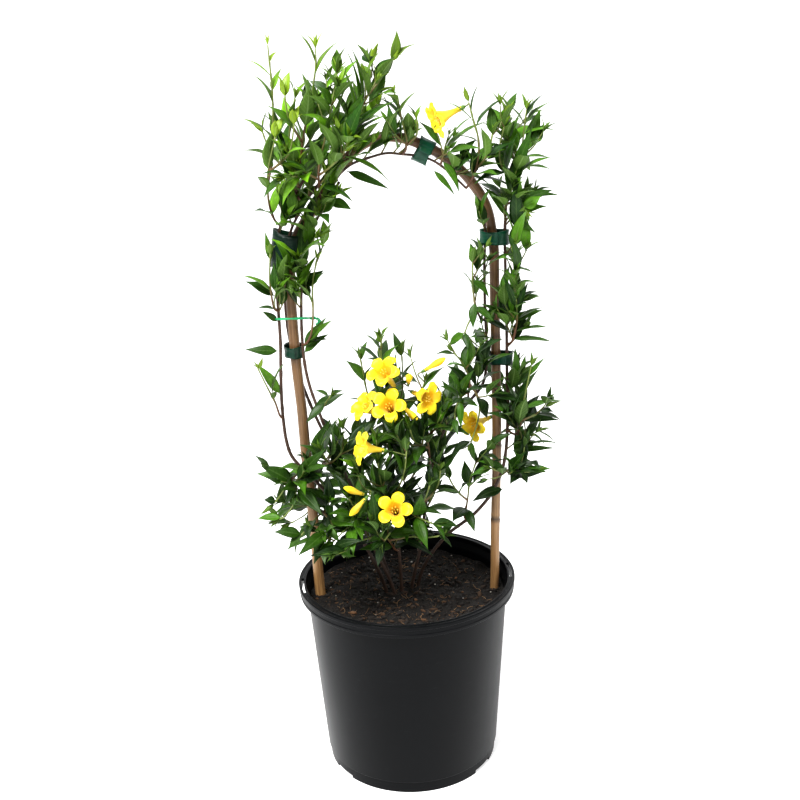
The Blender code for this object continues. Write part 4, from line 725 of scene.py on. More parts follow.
def lay_stalks(room, shoots):
    """A stalk for each flower and bud, from its shoot to just short of the flower, in clear space."""
    stalks = {name: [] for name in SHOOTS}
    for name, (shoot, base, head) in {**BLOOMS, **BUDS}.items():
        rng = random.Random(name)
        base, head = seen(base), seen(head)
        axis = (head - base).normalized()
        end = base - axis * CLEAR * MM
        own = own_twigs(shoot, len(shoots[shoot]))
        radii = [0.75 * MM, 0.75 * MM, 1.5 * MM, 1.9 * MM]
        for attempt in range(60):
            shift = 0.4 * attempt * MM
            aim = base - axis * 10 * MM + Vector([rng.uniform(-shift, shift) * 3 for _ in range(3)])
            carrier, spot, start = nearest_twig(shoots[shoot], aim)
            gap = (end - start).length
            knee = end - axis * min(6.5 * MM, 0.6 * gap)
            cup = end - axis * min(2.6 * MM, 0.25 * gap)
            route = [start, knee, cup, end]
            if not room.meets(pipe(route, [r + TWIG_ROOM * MM for r in radii], 6), {shoot, name, *own}):
                break
        room.add(shoot, pipe(route, radii, 6))
        carrier["forks"].append(spot)
        stalks[shoot].append((route, radii))
    return stalks


def lay_leaf(room, label, skip, rng, base, tip, up, width):
    """One leaf where it is asked for or turned a little, clear of everything, or None."""
    run = tip - base
    for attempt in range(16):
        swing = 0.05 * attempt
        turn = Vector([rng.uniform(-swing, swing) for _ in range(3)]) * run.length
        scale = 1 - 0.015 * attempt
        end = base + run * scale + turn
        whole = blade(base, end, up, width * scale, LEAF_ROOM * MM)
        outer = blade(base, end, up, width * scale, LEAF_ROOM * MM, PAST_ROOT)
        if not room.meets(whole, skip) and not room.meets(outer, ()):
            room.add(label, blade(base, end, up, width * scale))
            return end, up, width * scale
    return None


def upward(tangent, run):
    """Which way a leaf's upper face looks: to the sky and to the tip of its twig."""
    up = tangent * 0.6 + Vector((0, -0.25, 0.8))
    return up - run * (up.dot(run) / run.length_squared)


def joint_of(joints, route, spot, aim, reach):
    """The twig's joint within reach of that distance along it, or a new one, which faces a leaf's aim."""
    for joint in joints:
        if abs(joint["spot"] - spot) < reach * MM:
            return joint
    place, tangent = along(route, spot)
    out = (aim - tangent * aim.dot(tangent)).normalized()
    joint = {"spot": spot, "place": place, "tangent": tangent, "out": out, "leaves": {}}
    joints.append(joint)
    return joint


def side_of(joint, aim):
    """Which of a joint's four sides faces an aim most nearly, and is still free."""
    sides = [side for side in range(4) if side not in joint["leaves"]]
    return max(sides, key=lambda side: outward(joint, side).dot(aim), default=None)


def outward(joint, side):
    return Matrix.Rotation(math.pi / 2 * side, 3, joint["tangent"]) @ joint["out"]


def single_leaves(room, name, twigs):
    """The leaves that are placed one by one, each from the twig that is seen nearest to its foot."""
    rng = random.Random(name + " single")
    for foot, tip, width in SHOOTS[name][5]:
        foot = Vector(foot) * MM
        spots = [((view_of(along(twig["route"], s * MM)[0]) - foot).length, n, s * MM)
                 for n, twig in enumerate(twigs)
                 for s in range(5, int(route_length(twig["route"]) / MM))]
        _, number, spot = min(spots)
        route, joints = twigs[number]["route"], twigs[number]["joints"]
        end = seen(tip)
        for shift in JOINT_SHIFTS:
            place = min(max(spot + shift * MM, 4 * MM), route_length(route) - JOINT_HALF * MM)
            joint = joint_of(joints, route, place, end - along(route, place)[0], JOINT_REACH)
            base, tangent = joint["place"], joint["tangent"]
            side = side_of(joint, end - base)
            if side is None or outward(joint, side).dot((end - base).normalized()) < 0.3:
                continue
            skip = near_labels(name, number, joint["spot"])
            leaf = lay_leaf(room, f"{name}/{number}/{joint['spot']:.4f}", skip, rng, base, end,
                            upward(tangent, end - base), width * MM)
            if leaf:
                joint["leaves"][side] = (*leaf, 0.5)
                break
        joints[:] = [joint for joint in joints if joint["leaves"]]


def near_labels(name, number, spot):
    """What a leaf may touch at its root: its own joint and the bit of twig there."""
    return {f"{name}/{number}/{spot:.4f}", *(f"{name}/{number}:{k}" for k in
                                            range(int(spot / (TWIG_STEP * MM)) - 1,
                                                  int(spot / (TWIG_STEP * MM)) + 3))}


def paired_leaves(room, name, twigs):
    """Opposite leaves in pairs up each twig, every pair a quarter turn from the last."""
    _, size, spread, droop, _, _ = SHOOTS[name]
    rng = random.Random(name + " pairs")
    for number, twig in enumerate(twigs):
        route, joints = twig["route"], twig["joints"]
        total = route_length(route)
        level = (route[-1] - route[0]).orthogonal().normalized()
        turn = rng.uniform(0, math.pi)
        first = FIRST_LEAF * MM
        last = total - (JOINT_HALF + 0.1) * MM
        count = max(1, round((last - first) / (INTERNODE * MM)))
        for k in range(count, -1, -1):
            shift = rng.uniform(-0.15, 0.15) if 0 < k < count else 0
            spot = first + (last - first) * (k + shift) / count
            _, tangent = along(route, spot)
            turn += math.pi / 2 + rng.uniform(-0.35, 0.35)
            joint_of(joints, route, spot, Matrix.Rotation(turn, 3, tangent) @ level, 0.45 * INTERNODE)
        for joint in sorted(joints, key=lambda j: j["spot"]):
            share = joint["spot"] / total
            base, tangent = joint["place"], joint["tangent"]
            if joint["leaves"]:
                continue
            for side in (0, 2):
                lean = math.radians(spread * (1.15 - 0.45 * share) + rng.uniform(-8, 8))
                aim = tangent * math.cos(lean) + outward(joint, side) * math.sin(lean)
                aim = (aim + Vector((0, 0, droop))).normalized()
                reach = size * rng.uniform(0.8, 1.12) * (1 - 0.3 * share**3) * MM
                width = reach * LEAF_SLENDERNESS * rng.uniform(0.88, 1.15)
                tip = base + aim * reach
                skip = near_labels(name, number, joint["spot"])
                leaf = lay_leaf(room, f"{name}/{number}/{joint['spot']:.4f}", skip, rng, base, tip,
                                upward(tangent, tip - base), width)
                if leaf:
                    joint["leaves"][side] = (*leaf, share)


def grow():
    """The whole plant: stems, and for each shoot its twigs with their leaves, and its flower stalks."""
    room = Room()
    route, radii = cane()
    room.add("hoop", pipe(route, [r * 1.08 + 0.2 * MM for r in radii], 10))
    stems = stem_routes()
    for name, (route, radii) in stems.items():
        room.add(name, pipe(route, radii))
    for name in BANDS:
        room.add(name, band_shape(name))
    rise = Vector((0, 0, WIRE_DIP * WIRE_HALF[1] + 1)) * MM
    wire = pipe([mm(WIRE_MIDDLE) - rise, mm(WIRE_MIDDLE) + rise], [(WIRE_HALF[0] + 1) * MM] * 2, 12)
    room.add("tie_wire", wire)
    room.add("pot", pipe([Vector((0, 0, 0)), Vector((0, 0, (POT_HEIGHT + 1) * MM))],
                         [(RIM_RADIUS + 1) * MM] * 2, 24))
    room.add("window", box_shape(*WINDOW))
    for name, (_, base, head) in BLOOMS.items():
        room.add(name, bloom_shape(seen(base), seen(head), CLEAR * MM))
    for name, (_, base, head) in BUDS.items():
        route, radii = bud_route(seen(base), seen(head))
        room.add(name, pipe(route, [r + CLEAR * MM for r in radii]))
    shoots = lay_routes(room, stems)
    stalks = lay_stalks(room, shoots)
    for name, twigs in shoots.items():
        single_leaves(room, name, twigs)
    for name, twigs in shoots.items():
        paired_leaves(room, name, twigs)
    return room, stems, shoots, stalks


def soil_height(x, y):
    """The crumbled top of the soil, a little higher round the stems."""
    fine = math.sin(x * 0.21 + 1.3) * math.cos(y * 0.17 - 0.6)
    broad = math.sin(x * 0.09 - y * 0.13 + 2.1)
    return SOIL_TOP + SOIL_MOUND * math.exp(-(x * x + y * y) / 1500) + (fine + broad) * 0.8


PLANT = grow()

# How young the leaves at the end of a shoot's twigs are, from 0 for dark and firm to 1 for new ones
YOUNG = {
    "shoot_crown_left": 0.85, "shoot_crown_peak": 0.7, "shoot_crown_mid": 0.35, "shoot_crown_right": 0.55,
    "shoot_crown_back": 0.5, "shoot_leg_left_high": 0.5, "shoot_leg_left_twig": 0.8,
    "shoot_leg_left_inner": 0.35, "shoot_arch_left": 0.5, "shoot_arch_right": 0.4,
    "shoot_shoulder_right": 0.3, "shoot_leg_right_outer": 0.3, "shoot_left_top": 0.3,
}
OLD_SHOOT = 0.22
# Which shoots are drawn together as one piece
SPRAYS = {
    "leaves_crown_left": ("shoot_crown_left", "shoot_crown_peak"),
    "leaves_crown_middle": ("shoot_crown_mid", "shoot_crown_right"),
    "leaves_crown_back": ("shoot_crown_back",),
    "leaves_leg_left": ("shoot_leg_left_high", "shoot_leg_left_inner", "shoot_leg_left_twig",
                        "shoot_leg_left_low"),
    "leaves_left": ("shoot_left_top", "shoot_left_outer", "shoot_left_drop", "shoot_left_low"),
    "leaves_left_back": ("shoot_left_back", "shoot_centre_back_left"),
    "leaves_centre_top": ("shoot_centre_top",),
    "leaves_centre": ("shoot_centre_front", "shoot_centre_right"),
    "leaves_centre_low": ("shoot_centre_front_right", "shoot_centre_low"),
    "leaves_centre_back": ("shoot_centre_back",),
    "leaves_right": ("shoot_right_low", "shoot_right_inner", "shoot_right_outer", "shoot_right_drop"),
    "leaves_leg_right": ("shoot_leg_right_outer", "shoot_leg_right_inner"),
    "leaves_arch": ("shoot_arch_right", "shoot_arch_left", "shoot_arch_middle"),
    "leaves_shoulder": ("shoot_shoulder_right",),
}
# How far along a blade, its half width as a share of the fullest
BLADE_EDGE = ((0.0, 0.07), (0.06, 0.10), (0.12, 0.42), (0.22, 0.82), (0.34, 1.0), (0.45, 0.99),
              (0.57, 0.86), (0.69, 0.65), (0.80, 0.41), (0.89, 0.22), (0.96, 0.09), (1.0, 0.01))
BLADE_COLUMNS = (-1.0, -0.66, -0.3, 0.0, 0.3, 0.66, 1.0)
BLADE_THICKNESS = 0.36
# Sprigs that grow straight from a stem: spray, stem, shares of its length, how many, leaf size, youth
# and the way they lean out
COVER = (
    ("leaves_crown_left", "stem_left_front", (0.78, 0.99), 26, 37, 0.3, (-0.5, -0.8, 0.4)),
    ("leaves_crown_left", "stem_left_inner", (0.80, 0.99), 20, 37, 0.25, (0.1, -0.9, 0.3)),
    ("leaves_crown_back", "stem_left_back", (0.78, 0.99), 18, 36, 0.3, (-0.3, 0.5, 0.7)),
    ("leaves_crown_middle", "stem_arch", (0.0, 0.55), 18, 32, 0.2, (0.0, -0.6, 0.9)),
    ("leaves_arch", "stem_arch", (0.5, 1.0), 16, 31, 0.1, (0.3, -0.5, 0.8)),
    ("leaves_leg_left", "stem_left_inner", (0.72, 0.81), 12, 32, 0.1, (-0.2, -1.0, 0.3)),
    ("leaves_leg_left", "stem_left_inner", (0.86, 0.92), 6, 32, 0.1, (-0.3, -1.0, -0.6)),
    ("leaves_leg_left", "stem_left_front", (0.72, 0.81), 12, 32, 0.1, (0.3, -1.0, 0.2)),
    ("leaves_leg_left", "stem_left_front", (0.87, 0.93), 6, 32, 0.1, (0.0, -1.0, -0.6)),
    ("leaves_left", "stem_left_front", (0.14, 0.42), 18, 36, 0.1, (-0.6, -0.8, 0.1)),
    ("leaves_left", "stem_left_back", (0.16, 0.42), 14, 36, 0.1, (-0.7, 0.5, 0.1)),
    ("leaves_left", "stem_left_inner", (0.14, 0.4), 16, 36, 0.1, (-0.2, -0.9, 0.1)),
    ("leaves_centre", "stem_centre", (0.26, 1.0), 30, 33, 0.1, (0.1, -0.9, 0.1)),
    ("leaves_centre_low", "stem_right_inner", (0.14, 0.5), 20, 33, 0.1, (0.3, -0.9, 0.1)),
    ("leaves_right", "stem_right_outer", (0.34, 0.7), 22, 36, 0.1, (0.7, -0.6, 0.2)),
    ("leaves_right", "stem_right_inner", (0.45, 0.75), 16, 32, 0.1, (-0.4, -0.8, 0.2)),
    ("leaves_leg_right", "stem_right_outer", (0.68, 0.99), 26, 37, 0.1, (0.8, -0.6, 0.2)),
    ("leaves_leg_right", "stem_right_inner", (0.72, 1.0), 14, 29, 0.1, (-0.3, -0.9, 0.2)),
    ("leaves_shoulder", "stem_right_outer", (0.88, 1.0), 14, 36, 0.1, (0.5, -0.4, 0.8)),
)
# Large single leaves that stand out: spray, foot, tip and width, in millimetres
LONE_LEAVES = (
    ("leaves_leg_left", (-103, -8, 401), (-131, -13, 405), 9.5),
    ("leaves_leg_left", (-81, -10, 404), (-60, -15, 431), 9),
    ("leaves_leg_left", (-81, -10, 399), (-59, -14, 416), 8),
    ("leaves_leg_left", (-102, -7, 427), (-114, -10, 437), 6),
    ("leaves_leg_left", (-103, -7, 449), (-126, -12, 464), 9.5),
    ("leaves_leg_left", (-78, -9, 457), (-60, -13, 471), 11),
    ("leaves_leg_left", (-104, -9, 362), (-122, -13, 392), 9),
    ("leaves_leg_left", (-75, -12, 351), (-48, -15, 363), 9),
    ("leaves_leg_left", (-104, -7, 479), (-107, -9, 504), 6),
    ("leaves_left", (-76, -16, 300), (-61, -22, 342), 14),
    ("leaves_left", (-50, -18, 304), (-58, -23, 341), 11),
    ("leaves_left", (-97, -15, 286), (-129, -18, 293), 12),
    ("leaves_right", (96, -9, 333), (139, -15, 331), 9),
    ("leaves_right", (96, -9, 301), (136, -15, 305), 6),
    ("leaves_right", (94, -9, 279), (127, -14, 283), 10),
    ("leaves_right", (90, -10, 266), (61, -15, 257), 10),
    ("leaves_leg_right", (97, -9, 440), (121, -13, 443), 7),
    ("leaves_leg_right", (97, -9, 421), (124, -13, 430), 8),
    ("leaves_shoulder", (98, -11, 522), (137, -16, 527), 7),
    ("leaves_shoulder", (98, -11, 514), (127, -16, 518), 9),
    ("leaves_shoulder", (97, -11, 508), (118, -15, 496), 7),
    ("leaves_crown_middle", (-37, -12, 552), (-2, -16, 537), 8),
    ("leaves_crown_left", (-52, -12, 527), (-34, -14, 521), 10),
    ("leaves_arch", (34, -9, 550), (52, -12, 529), 5),
)
# The outlines of the masses of leaves as the onlooker sees them on the hoop's plane, in millimetres
MASSES = (
    ((-104, 545), (-108, 565), (-106, 590), (-99, 602), (-88, 604), (-75, 609), (-66, 626), (-58, 648),
     (-47, 654), (-38, 640), (-26, 646), (-10, 648), (0, 631), (4, 612), (20, 611), (25, 594), (21, 566),
     (8, 568), (-8, 568), (-24, 558), (-37, 546), (-43, 532), (-46, 520), (-52, 505), (-58, 485),
     (-64, 464), (-74, 450), (-102, 450), (-106, 470), (-104, 500), (-96, 522)),
    ((-110, 196), (-115, 215), (-127, 238), (-121, 256), (-106, 262), (-114, 276), (-126, 292), (-112, 293),
     (-94, 286), (-90, 298), (-80, 310), (-70, 326), (-59, 342), (-49, 330), (-45, 312), (-39, 308),
     (-40, 322), (-30, 330), (-39, 338), (-41, 352), (-36, 364), (-28, 372), (-26, 386), (-35, 402),
     (-24, 398), (-17, 404), (-14, 419), (-7, 410), (-2, 397), (3, 404), (11, 390), (18, 378), (24, 370),
     (36, 374), (44, 362), (40, 346), (46, 332), (50, 316), (36, 300), (40, 292), (28, 286), (32, 268),
     (22, 252), (16, 238), (24, 226), (30, 216), (24, 202), (6, 198), (-14, 202), (-34, 200), (-56, 192),
     (-74, 196)),
    ((34, 372), (46, 366), (44, 346), (48, 330), (52, 316), (70, 312), (74, 300), (66, 284), (58, 272),
     (66, 262), (92, 262), (108, 262), (113, 270), (126, 282), (110, 292), (122, 298), (139, 305),
     (122, 312), (126, 322), (140, 330), (127, 342), (140, 350), (118, 352), (122, 370), (122, 382),
     (110, 390),
     (110, 400), (128, 415), (114, 421), (124, 430), (110, 440), (122, 448), (112, 453), (118, 461),
     (112, 470), (115, 484), (106, 490), (108, 500), (118, 498), (111, 512), (126, 520), (137, 526),
     (128, 538), (132, 548), (135, 568), (127, 578), (129, 590), (122, 597), (112, 600), (101, 598),
     (92, 604), (80, 598), (72, 610), (61, 610), (62, 596), (56, 584), (46, 578), (30, 580), (26, 566),
     (34, 552), (46, 548), (58, 536), (70, 522), (66, 508), (62, 490), (62, 470), (67, 455), (65, 440),
     (70, 426), (68, 414), (52, 402), (42, 406), (38, 392), (28, 384)),
)
# How far past the plain model's box a leaf may end, in millimetres
SPILL = 2
# How broad a sprig's leaf is for its length, and how much fuller than its plain solid a leaf is drawn
BROAD = 0.31
FULLER = 1.15
# How thick with side sprigs a shoot is, where that isn't 1
FULLNESS = {"shoot_leg_left_twig": 0.4, "shoot_leg_left_high": 0.5, "shoot_arch_left": 0.6,
            "shoot_leg_left_inner": 0.6, "shoot_crown_left": 0.3, "shoot_crown_peak": 0.8}
# How strongly a side vein leans forward, and how close the veins lie
VEIN_SLANT = 0.16
VEINS = 62.0
# Between these heights, in metres, the leaves turn from dark to fresh: painted shade low down, where less
# light reaches, and older leaves there
SHADED_AND_OLD_HEIGHTS = (0.30, 0.56)
# Flats round the drawn tubes, the flowers, the buds, the soil and the wire's loop
TWIG_SIDES = 7
STEM_SIDES = 12
CANE_SIDES = 24
BLOOM_FLATS = 70
BUD_FLATS = 25
SOIL_FLATS = 150
LOOP_FLATS = 72
# Where on the hoop's plane its rings are
CANE_RINGS = ((-88, 300), (-93, 395), (-84, 490), (-35, 566), (44, 570), (92, 404), (86, 305), (83, 233))


class Skin:
    """The points and faces of a piece while it is drawn, with the marks that its finish reads."""

    def __init__(self):
        self.points, self.places, self.ages = [], [], []
        self.faces, self.finishes = [], []

    def add(self, point, place=(0.0, 0.0, 0.0), age=0.0):
        self.points.append(point)
        self.places.append(place)
        self.ages.append(age)
        return len(self.points) - 1

    def face(self, corners, finish):
        self.faces.append(corners)
        self.finishes.append(finish)

    def sheet(self, rows, finish, closed=False, flip=False):
        """Quads between rows of point numbers."""
        for a, b in zip(rows, rows[1:]):
            for k in range(len(a) if closed else len(a) - 1):
                n = (k + 1) % len(a)
                quad = (a[k], a[n], b[n], b[k])
                self.face(quad[::-1] if flip else quad, finish)

    def tube(self, route, radii, sides, finish, ages=(0.0, 0.0)):
        """A round tube whose marks are its turn, as a cosine and a sine, and its length in metres."""
        rows, length = [], 0.0
        for k, place, normal, other in crossways(route):
            length += (place - route[max(0, k - 1)]).length
            age = ages[0] + (ages[1] - ages[0]) * k / (len(route) - 1)
            row = []
            for side in range(sides):
                turn = math.tau * side / sides
                c, s = math.cos(turn), math.sin(turn)
                row.append(self.add(place + (normal * c + other * s) * radii[k], (c, s, length), age))
            rows.append(row)
        self.sheet(rows, finish, closed=True)
        for row, place, flip in ((rows[0], route[0], True), (rows[-1], route[-1], False)):
            middle = self.add(place, (0, 0, 0), ages[0] if flip else ages[1])
            for k in range(sides):
                corners = (row[k], row[(k + 1) % sides], middle)
                self.face(corners[::-1] if flip else corners, finish)

    def mesh(self, name, finishes):
        mesh = bpy.data.meshes.new(name)
        mesh.from_pydata(self.points, [], self.faces)
        mesh.polygons.foreach_set("material_index", self.finishes)
        mesh.polygons.foreach_set("use_smooth", [True] * len(self.faces))
        places = mesh.attributes.new("place", "FLOAT_VECTOR", "POINT")
        places.data.foreach_set("vector", [value for place in self.places for value in place])
        ages = mesh.attributes.new("age", "FLOAT", "POINT")
        ages.data.foreach_set("value", self.ages)
        for finish in finishes:
            mesh.materials.append(finish)
        return mesh


def piece(name, mesh, nodes):
    """Puts a mesh on the part's one body in place of its plain solids."""
    thing = bpy.data.objects.new(name, mesh)
    bpy.context.scene.collection.objects.link(thing)
    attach(thing, "root")
    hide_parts(*nodes)
    return thing


class Finish:
    """A procedural material: its Principled shader and the nodes that feed it."""

    def __init__(self, name, roughness, **settings):
        self.made = bpy.data.materials.new(name)
        self.made.use_nodes = True
        self.nodes = self.made.node_tree.nodes
        self.links = self.made.node_tree.links
        self.shader = self.nodes["Principled BSDF"]
        self.shader.inputs["Roughness"].default_value = roughness
        for socket, value in settings.items():
            self.shader.inputs[socket.replace("_", " ")].default_value = value

    def feed(self, socket, value):
        """Links a socket to another one, or sets its value."""
        if isinstance(value, bpy.types.NodeSocket):
            self.links.new(value, socket)
        else:
            socket.default_value = value

    def node(self, kind, **values):
        made = self.nodes.new("ShaderNode" + kind)
        for key, value in values.items():
            self.feed(made.inputs[key.replace("_", " ")], value)
        return made

    def mark(self, name, output="Vector"):
        made = self.node("Attribute")
        made.attribute_name = name
        return made.outputs[output]

    def math(self, operation, a, b=0.0):
        made = self.node("Math")
        made.operation = operation
        self.feed(made.inputs[0], a)
        self.feed(made.inputs[1], b)
        return made.outputs[0]

    def parts(self, vector):
        return self.node("SeparateXYZ", Vector=vector).outputs

    def stretched(self, vector, scale):
        return self.node("Mapping", Vector=vector, Scale=scale).outputs[0]

    def noise(self, vector, scale, detail=3.0, roughness=0.5):
        return self.node("TexNoise", Vector=vector, Scale=scale, Detail=detail,
                         Roughness=roughness).outputs["Fac"]

    def ramp(self, share, stops):
        """A colour that runs through (place, colour) stops."""
        made = self.node("ValToRGB")
        self.links.new(share, made.inputs[0])
        elements = made.color_ramp.elements
        while len(elements) < len(stops):
            elements.new(0.5)
        for element, (place, colour) in zip(elements, stops):
            element.position = place
            element.color = (*colour, 1)
        return made.outputs[0]

    def step(self, value, low, high):
        """0 below low and 1 above high, smooth between them."""
        made = self.node("MapRange", Value=value, From_Min=low, From_Max=high)
        made.interpolation_type = "SMOOTHSTEP"
        return made.outputs[0]

    def mix(self, share, a, b, way="MIX"):
        """Colour a where share is 0 and b where it is 1, or b laid over a in another way."""
        made = self.node("Mix")
        made.data_type = "RGBA"
        made.blend_type = way
        self.feed(made.inputs[0], share)
        for socket, colour in ((made.inputs[6], a), (made.inputs[7], b)):
            self.feed(socket, colour if isinstance(colour, bpy.types.NodeSocket) else (*colour, 1))
        return made.outputs[2]

    def darken(self, base, factor):
        return self.mix(1.0, base, factor, "MULTIPLY")

    def weaken(self, share, weight):
        return self.math("MULTIPLY", share, weight)

    def shade(self, share, base, factor):
        """A colour, multiplied by a factor where share is 1."""
        return self.mix(share, base, self.darken(base, factor))

    def finish(self, colour, height=None, strength=0.3, depth=0.0005, roughness=None):
        self.links.new(colour, self.shader.inputs["Base Color"])
        if roughness:
            self.links.new(roughness, self.shader.inputs["Roughness"])
        if height:
            bump = self.node("Bump", Height=height, Strength=strength, Distance=depth)
            self.links.new(bump.outputs[0], self.shader.inputs["Normal"])
        return self.made

    def spots(self):
        """Where a point lies on the object, in metres."""
        return self.node("TexCoord").outputs["Object"]


def leaf_marks(made, across, along, rib_edge, vein_edge):
    """A leaf's midrib and its slanting side veins, each 1 on the line and 0 off it."""
    off = made.math("ABSOLUTE", across)
    rib = made.math("SUBTRACT", 1.0, made.step(off, *rib_edge))
    slant = made.weaken(made.math("SUBTRACT", along, made.weaken(off, VEIN_SLANT)), VEINS)
    return rib, made.step(made.math("SINE", slant), vein_edge, 1.0)


def leaf_face(settings):
    """The upper side of a leaf: glossy green with a pale midrib, yellow-green where it is new, darker low
    down as painted shade with older leaves, and darker on the right as painted shade.
    """
    made = Finish("leaf_face", 0.4, Specular_IOR_Level=0.3)
    across, along, chance = made.parts(made.mark("place"))
    age = made.mark("age", "Fac")
    dark, full = Vector(settings.leaf_dark), Vector(settings.leaf_full)
    base = made.ramp(chance, ((0.0, dark), (0.45, dark.lerp(full, 0.4)), (0.82, full), (1.0, full * 1.7)))
    mottle = made.noise(made.spots(), 240.0, 3.0)
    base = made.shade(made.step(mottle, 0.35, 0.75), base, (1.45, 1.4, 1.25))
    base = made.mix(made.step(age, 0.25, 0.95), base, settings.leaf_new)
    bronze = made.math("MULTIPLY", made.step(age, 0.72, 1.0), made.step(along, 0.45, 1.0))
    base = made.mix(made.weaken(bronze, 0.75), base, settings.leaf_bronze)
    x, _, z = made.parts(made.spots())
    # Leaves low down are painted darker: painted shade where less light reaches, and older leaves there
    shaded_and_old = made.darken(base, (0.34, 0.40, 0.42))
    base = made.mix(made.step(z, *SHADED_AND_OLD_HEIGHTS), shaded_and_old, base)
    # Leaves on the right are painted darker: painted shade, away from the light on the upper left
    base = made.shade(made.step(x, -0.02, 0.06), base, (0.66, 0.74, 0.9))
    rib, vein = leaf_marks(made, across, along, (0.02, 0.13), 0.72)
    base = made.mix(made.weaken(rib, 0.4), base, made.mix(0.35, base, (0.20, 0.32, 0.09)))
    base = made.mix(made.weaken(vein, 0.2), base, made.mix(0.3, base, (0.16, 0.26, 0.08)))
    height = made.math("ADD", made.weaken(rib, -1.0), made.weaken(vein, -0.35))
    height = made.math("ADD", height, made.weaken(mottle, 0.5))
    gloss = made.math("ADD", made.weaken(mottle, 0.2), 0.3)
    return made.finish(base, height, 0.5, 0.0003, gloss)


def leaf_back(settings):
    """The under side of a leaf: paler and duller, with its midrib standing out."""
    made = Finish("leaf_back", 0.6, Specular_IOR_Level=0.25)
    across, along, chance = made.parts(made.mark("place"))
    age = made.mark("age", "Fac")
    base = made.ramp(chance, ((0.0, Vector(settings.leaf_back) * 0.7), (1.0, settings.leaf_back)))
    base = made.mix(made.step(age, 0.3, 0.95), base, settings.leaf_new)
    z = made.parts(made.spots())[2]
    # Under sides low down are painted darker: painted shade where less light reaches, and older leaves
    # there
    base = made.mix(made.step(z, *SHADED_AND_OLD_HEIGHTS), made.darken(base, (0.55, 0.6, 0.6)), base)
    rib, vein = leaf_marks(made, across, along, (0.03, 0.14), 0.6)
    base = made.mix(made.weaken(rib, 0.55), base, (0.24, 0.36, 0.12))
    height = made.math("ADD", rib, made.weaken(vein, 0.4))
    base = made.mix(made.weaken(vein, 0.2), base, (0.2, 0.3, 0.1))
    return made.finish(base, height, 0.5, 0.0003)


def wood_finish(name, stops, grain, roughness, strength=0.4):
    """Wood whose colour runs along the piece by its age mark, with grain drawn out along it."""
    made = Finish(name, roughness)
    streaks = made.noise(made.stretched(made.mark("place"), grain), 3.0, 5.0, 0.62)
    fine = made.noise(made.stretched(made.mark("place"), tuple(5 * k for k in grain)), 3.0, 3.0)
    base = made.ramp(made.mark("age", "Fac"), stops)
    base = made.mix(made.step(streaks, 0.35, 0.7), made.darken(base, (0.58, 0.53, 0.5)), base)
    base = made.shade(made.weaken(made.step(fine, 0.5, 0.75), 0.35), base, (1.5, 1.4, 1.2))
    height = made.math("ADD", streaks, made.weaken(fine, 0.5))
    gloss = made.math("ADD", made.weaken(streaks, -0.2), roughness + 0.1)
    return made.finish(base, height, strength, 0.0006, gloss)


def petal_finish(settings):
    """A yellow petal: orange in the throat, with faint veins that fan out to the rim."""
    made = Finish("petal_yellow", 0.5, Sheen_Weight=0.15)
    along = made.parts(made.mark("place"))[2]
    tube, throat, edge = settings.petal_tube, settings.petal_throat, settings.petal_edge
    base = made.ramp(along, ((0.0, tube), (0.45, tube), (0.58, throat), (0.70, edge), (1.0, edge)))
    fan = made.stretched(made.mark("place"), (9.0, 9.0, 0.7))
    veins = made.noise(fan, 3.0, 2.0)
    base = made.shade(made.weaken(made.step(veins, 0.45, 0.7), 0.35), base, (0.97, 0.84, 0.6))
    return made.finish(base, veins, 0.35, 0.0004)


def plain_green(name, colour, roughness):
    """Soft green tissue with a slight mottle."""
    made = Finish(name, roughness)
    mottle = made.noise(made.spots(), 400.0, 3.0)
    base = made.mix(mottle, Vector(colour) * 0.6, Vector(colour) * 1.35)
    return made.finish(base, mottle, 0.3, 0.0002)


def pot_finish(settings):
    """Satin black moulded plastic with a fine grain and faint scuffs."""
    made = Finish("pot_plastic", 0.42, Specular_IOR_Level=0.11)
    spots = made.spots()
    grain = made.noise(spots, 900.0, 2.0)
    cloud = made.noise(made.stretched(spots, (1.0, 1.0, 0.25)), 22.0, 4.0, 0.6)
    scuff = made.noise(made.stretched(spots, (1.0, 1.0, 6.0)), 60.0, 5.0, 0.7)
    black = Vector(settings.plastic_colour)
    base = made.mix(cloud, black * 0.75, black * 1.5)
    base = made.mix(made.weaken(made.step(scuff, 0.62, 0.78), 0.3), base, (0.03, 0.033, 0.036))
    height = made.math("ADD", grain, made.weaken(scuff, 0.4))
    gloss = made.math("ADD", made.weaken(cloud, 0.16), 0.3)
    return made.finish(base, height, 0.16, 0.0002, gloss)


def tape_finish(settings):
    """Dark green plastic tape, creased across, with a soft shine, and painted shade on the ties among the
    leaves.
    """
    made = Finish("tape_green", 0.34, Specular_IOR_Level=0.35)
    spots = made.spots()
    crease = made.noise(made.stretched(spots, (1.0, 1.0, 3.5)), 160.0, 4.0, 0.6)
    cloud = made.noise(spots, 45.0, 3.0)
    green = Vector(settings.tape_colour)
    base = made.mix(cloud, green * 0.6, green * 1.5)
    base = made.mix(made.weaken(made.step(crease, 0.6, 0.75), 0.3), base, green * 3.0)
    # The age mark paints shade on the ties that sit among the leaves
    base = made.mix(made.mark("age", "Fac"), base, green * 0.25)
    return made.finish(base, crease, 0.5, 0.0006)


def wire_finish(settings):
    """Bright green plastic coat on the twist wire."""
    made = Finish("wire_green", 0.3)
    scuff = made.noise(made.spots(), 500.0, 4.0, 0.7)
    green = Vector(settings.wire_colour)
    base = made.mix(scuff, green * 0.7, green * 1.3)
    return made.finish(base, scuff, 0.3, 0.0002)


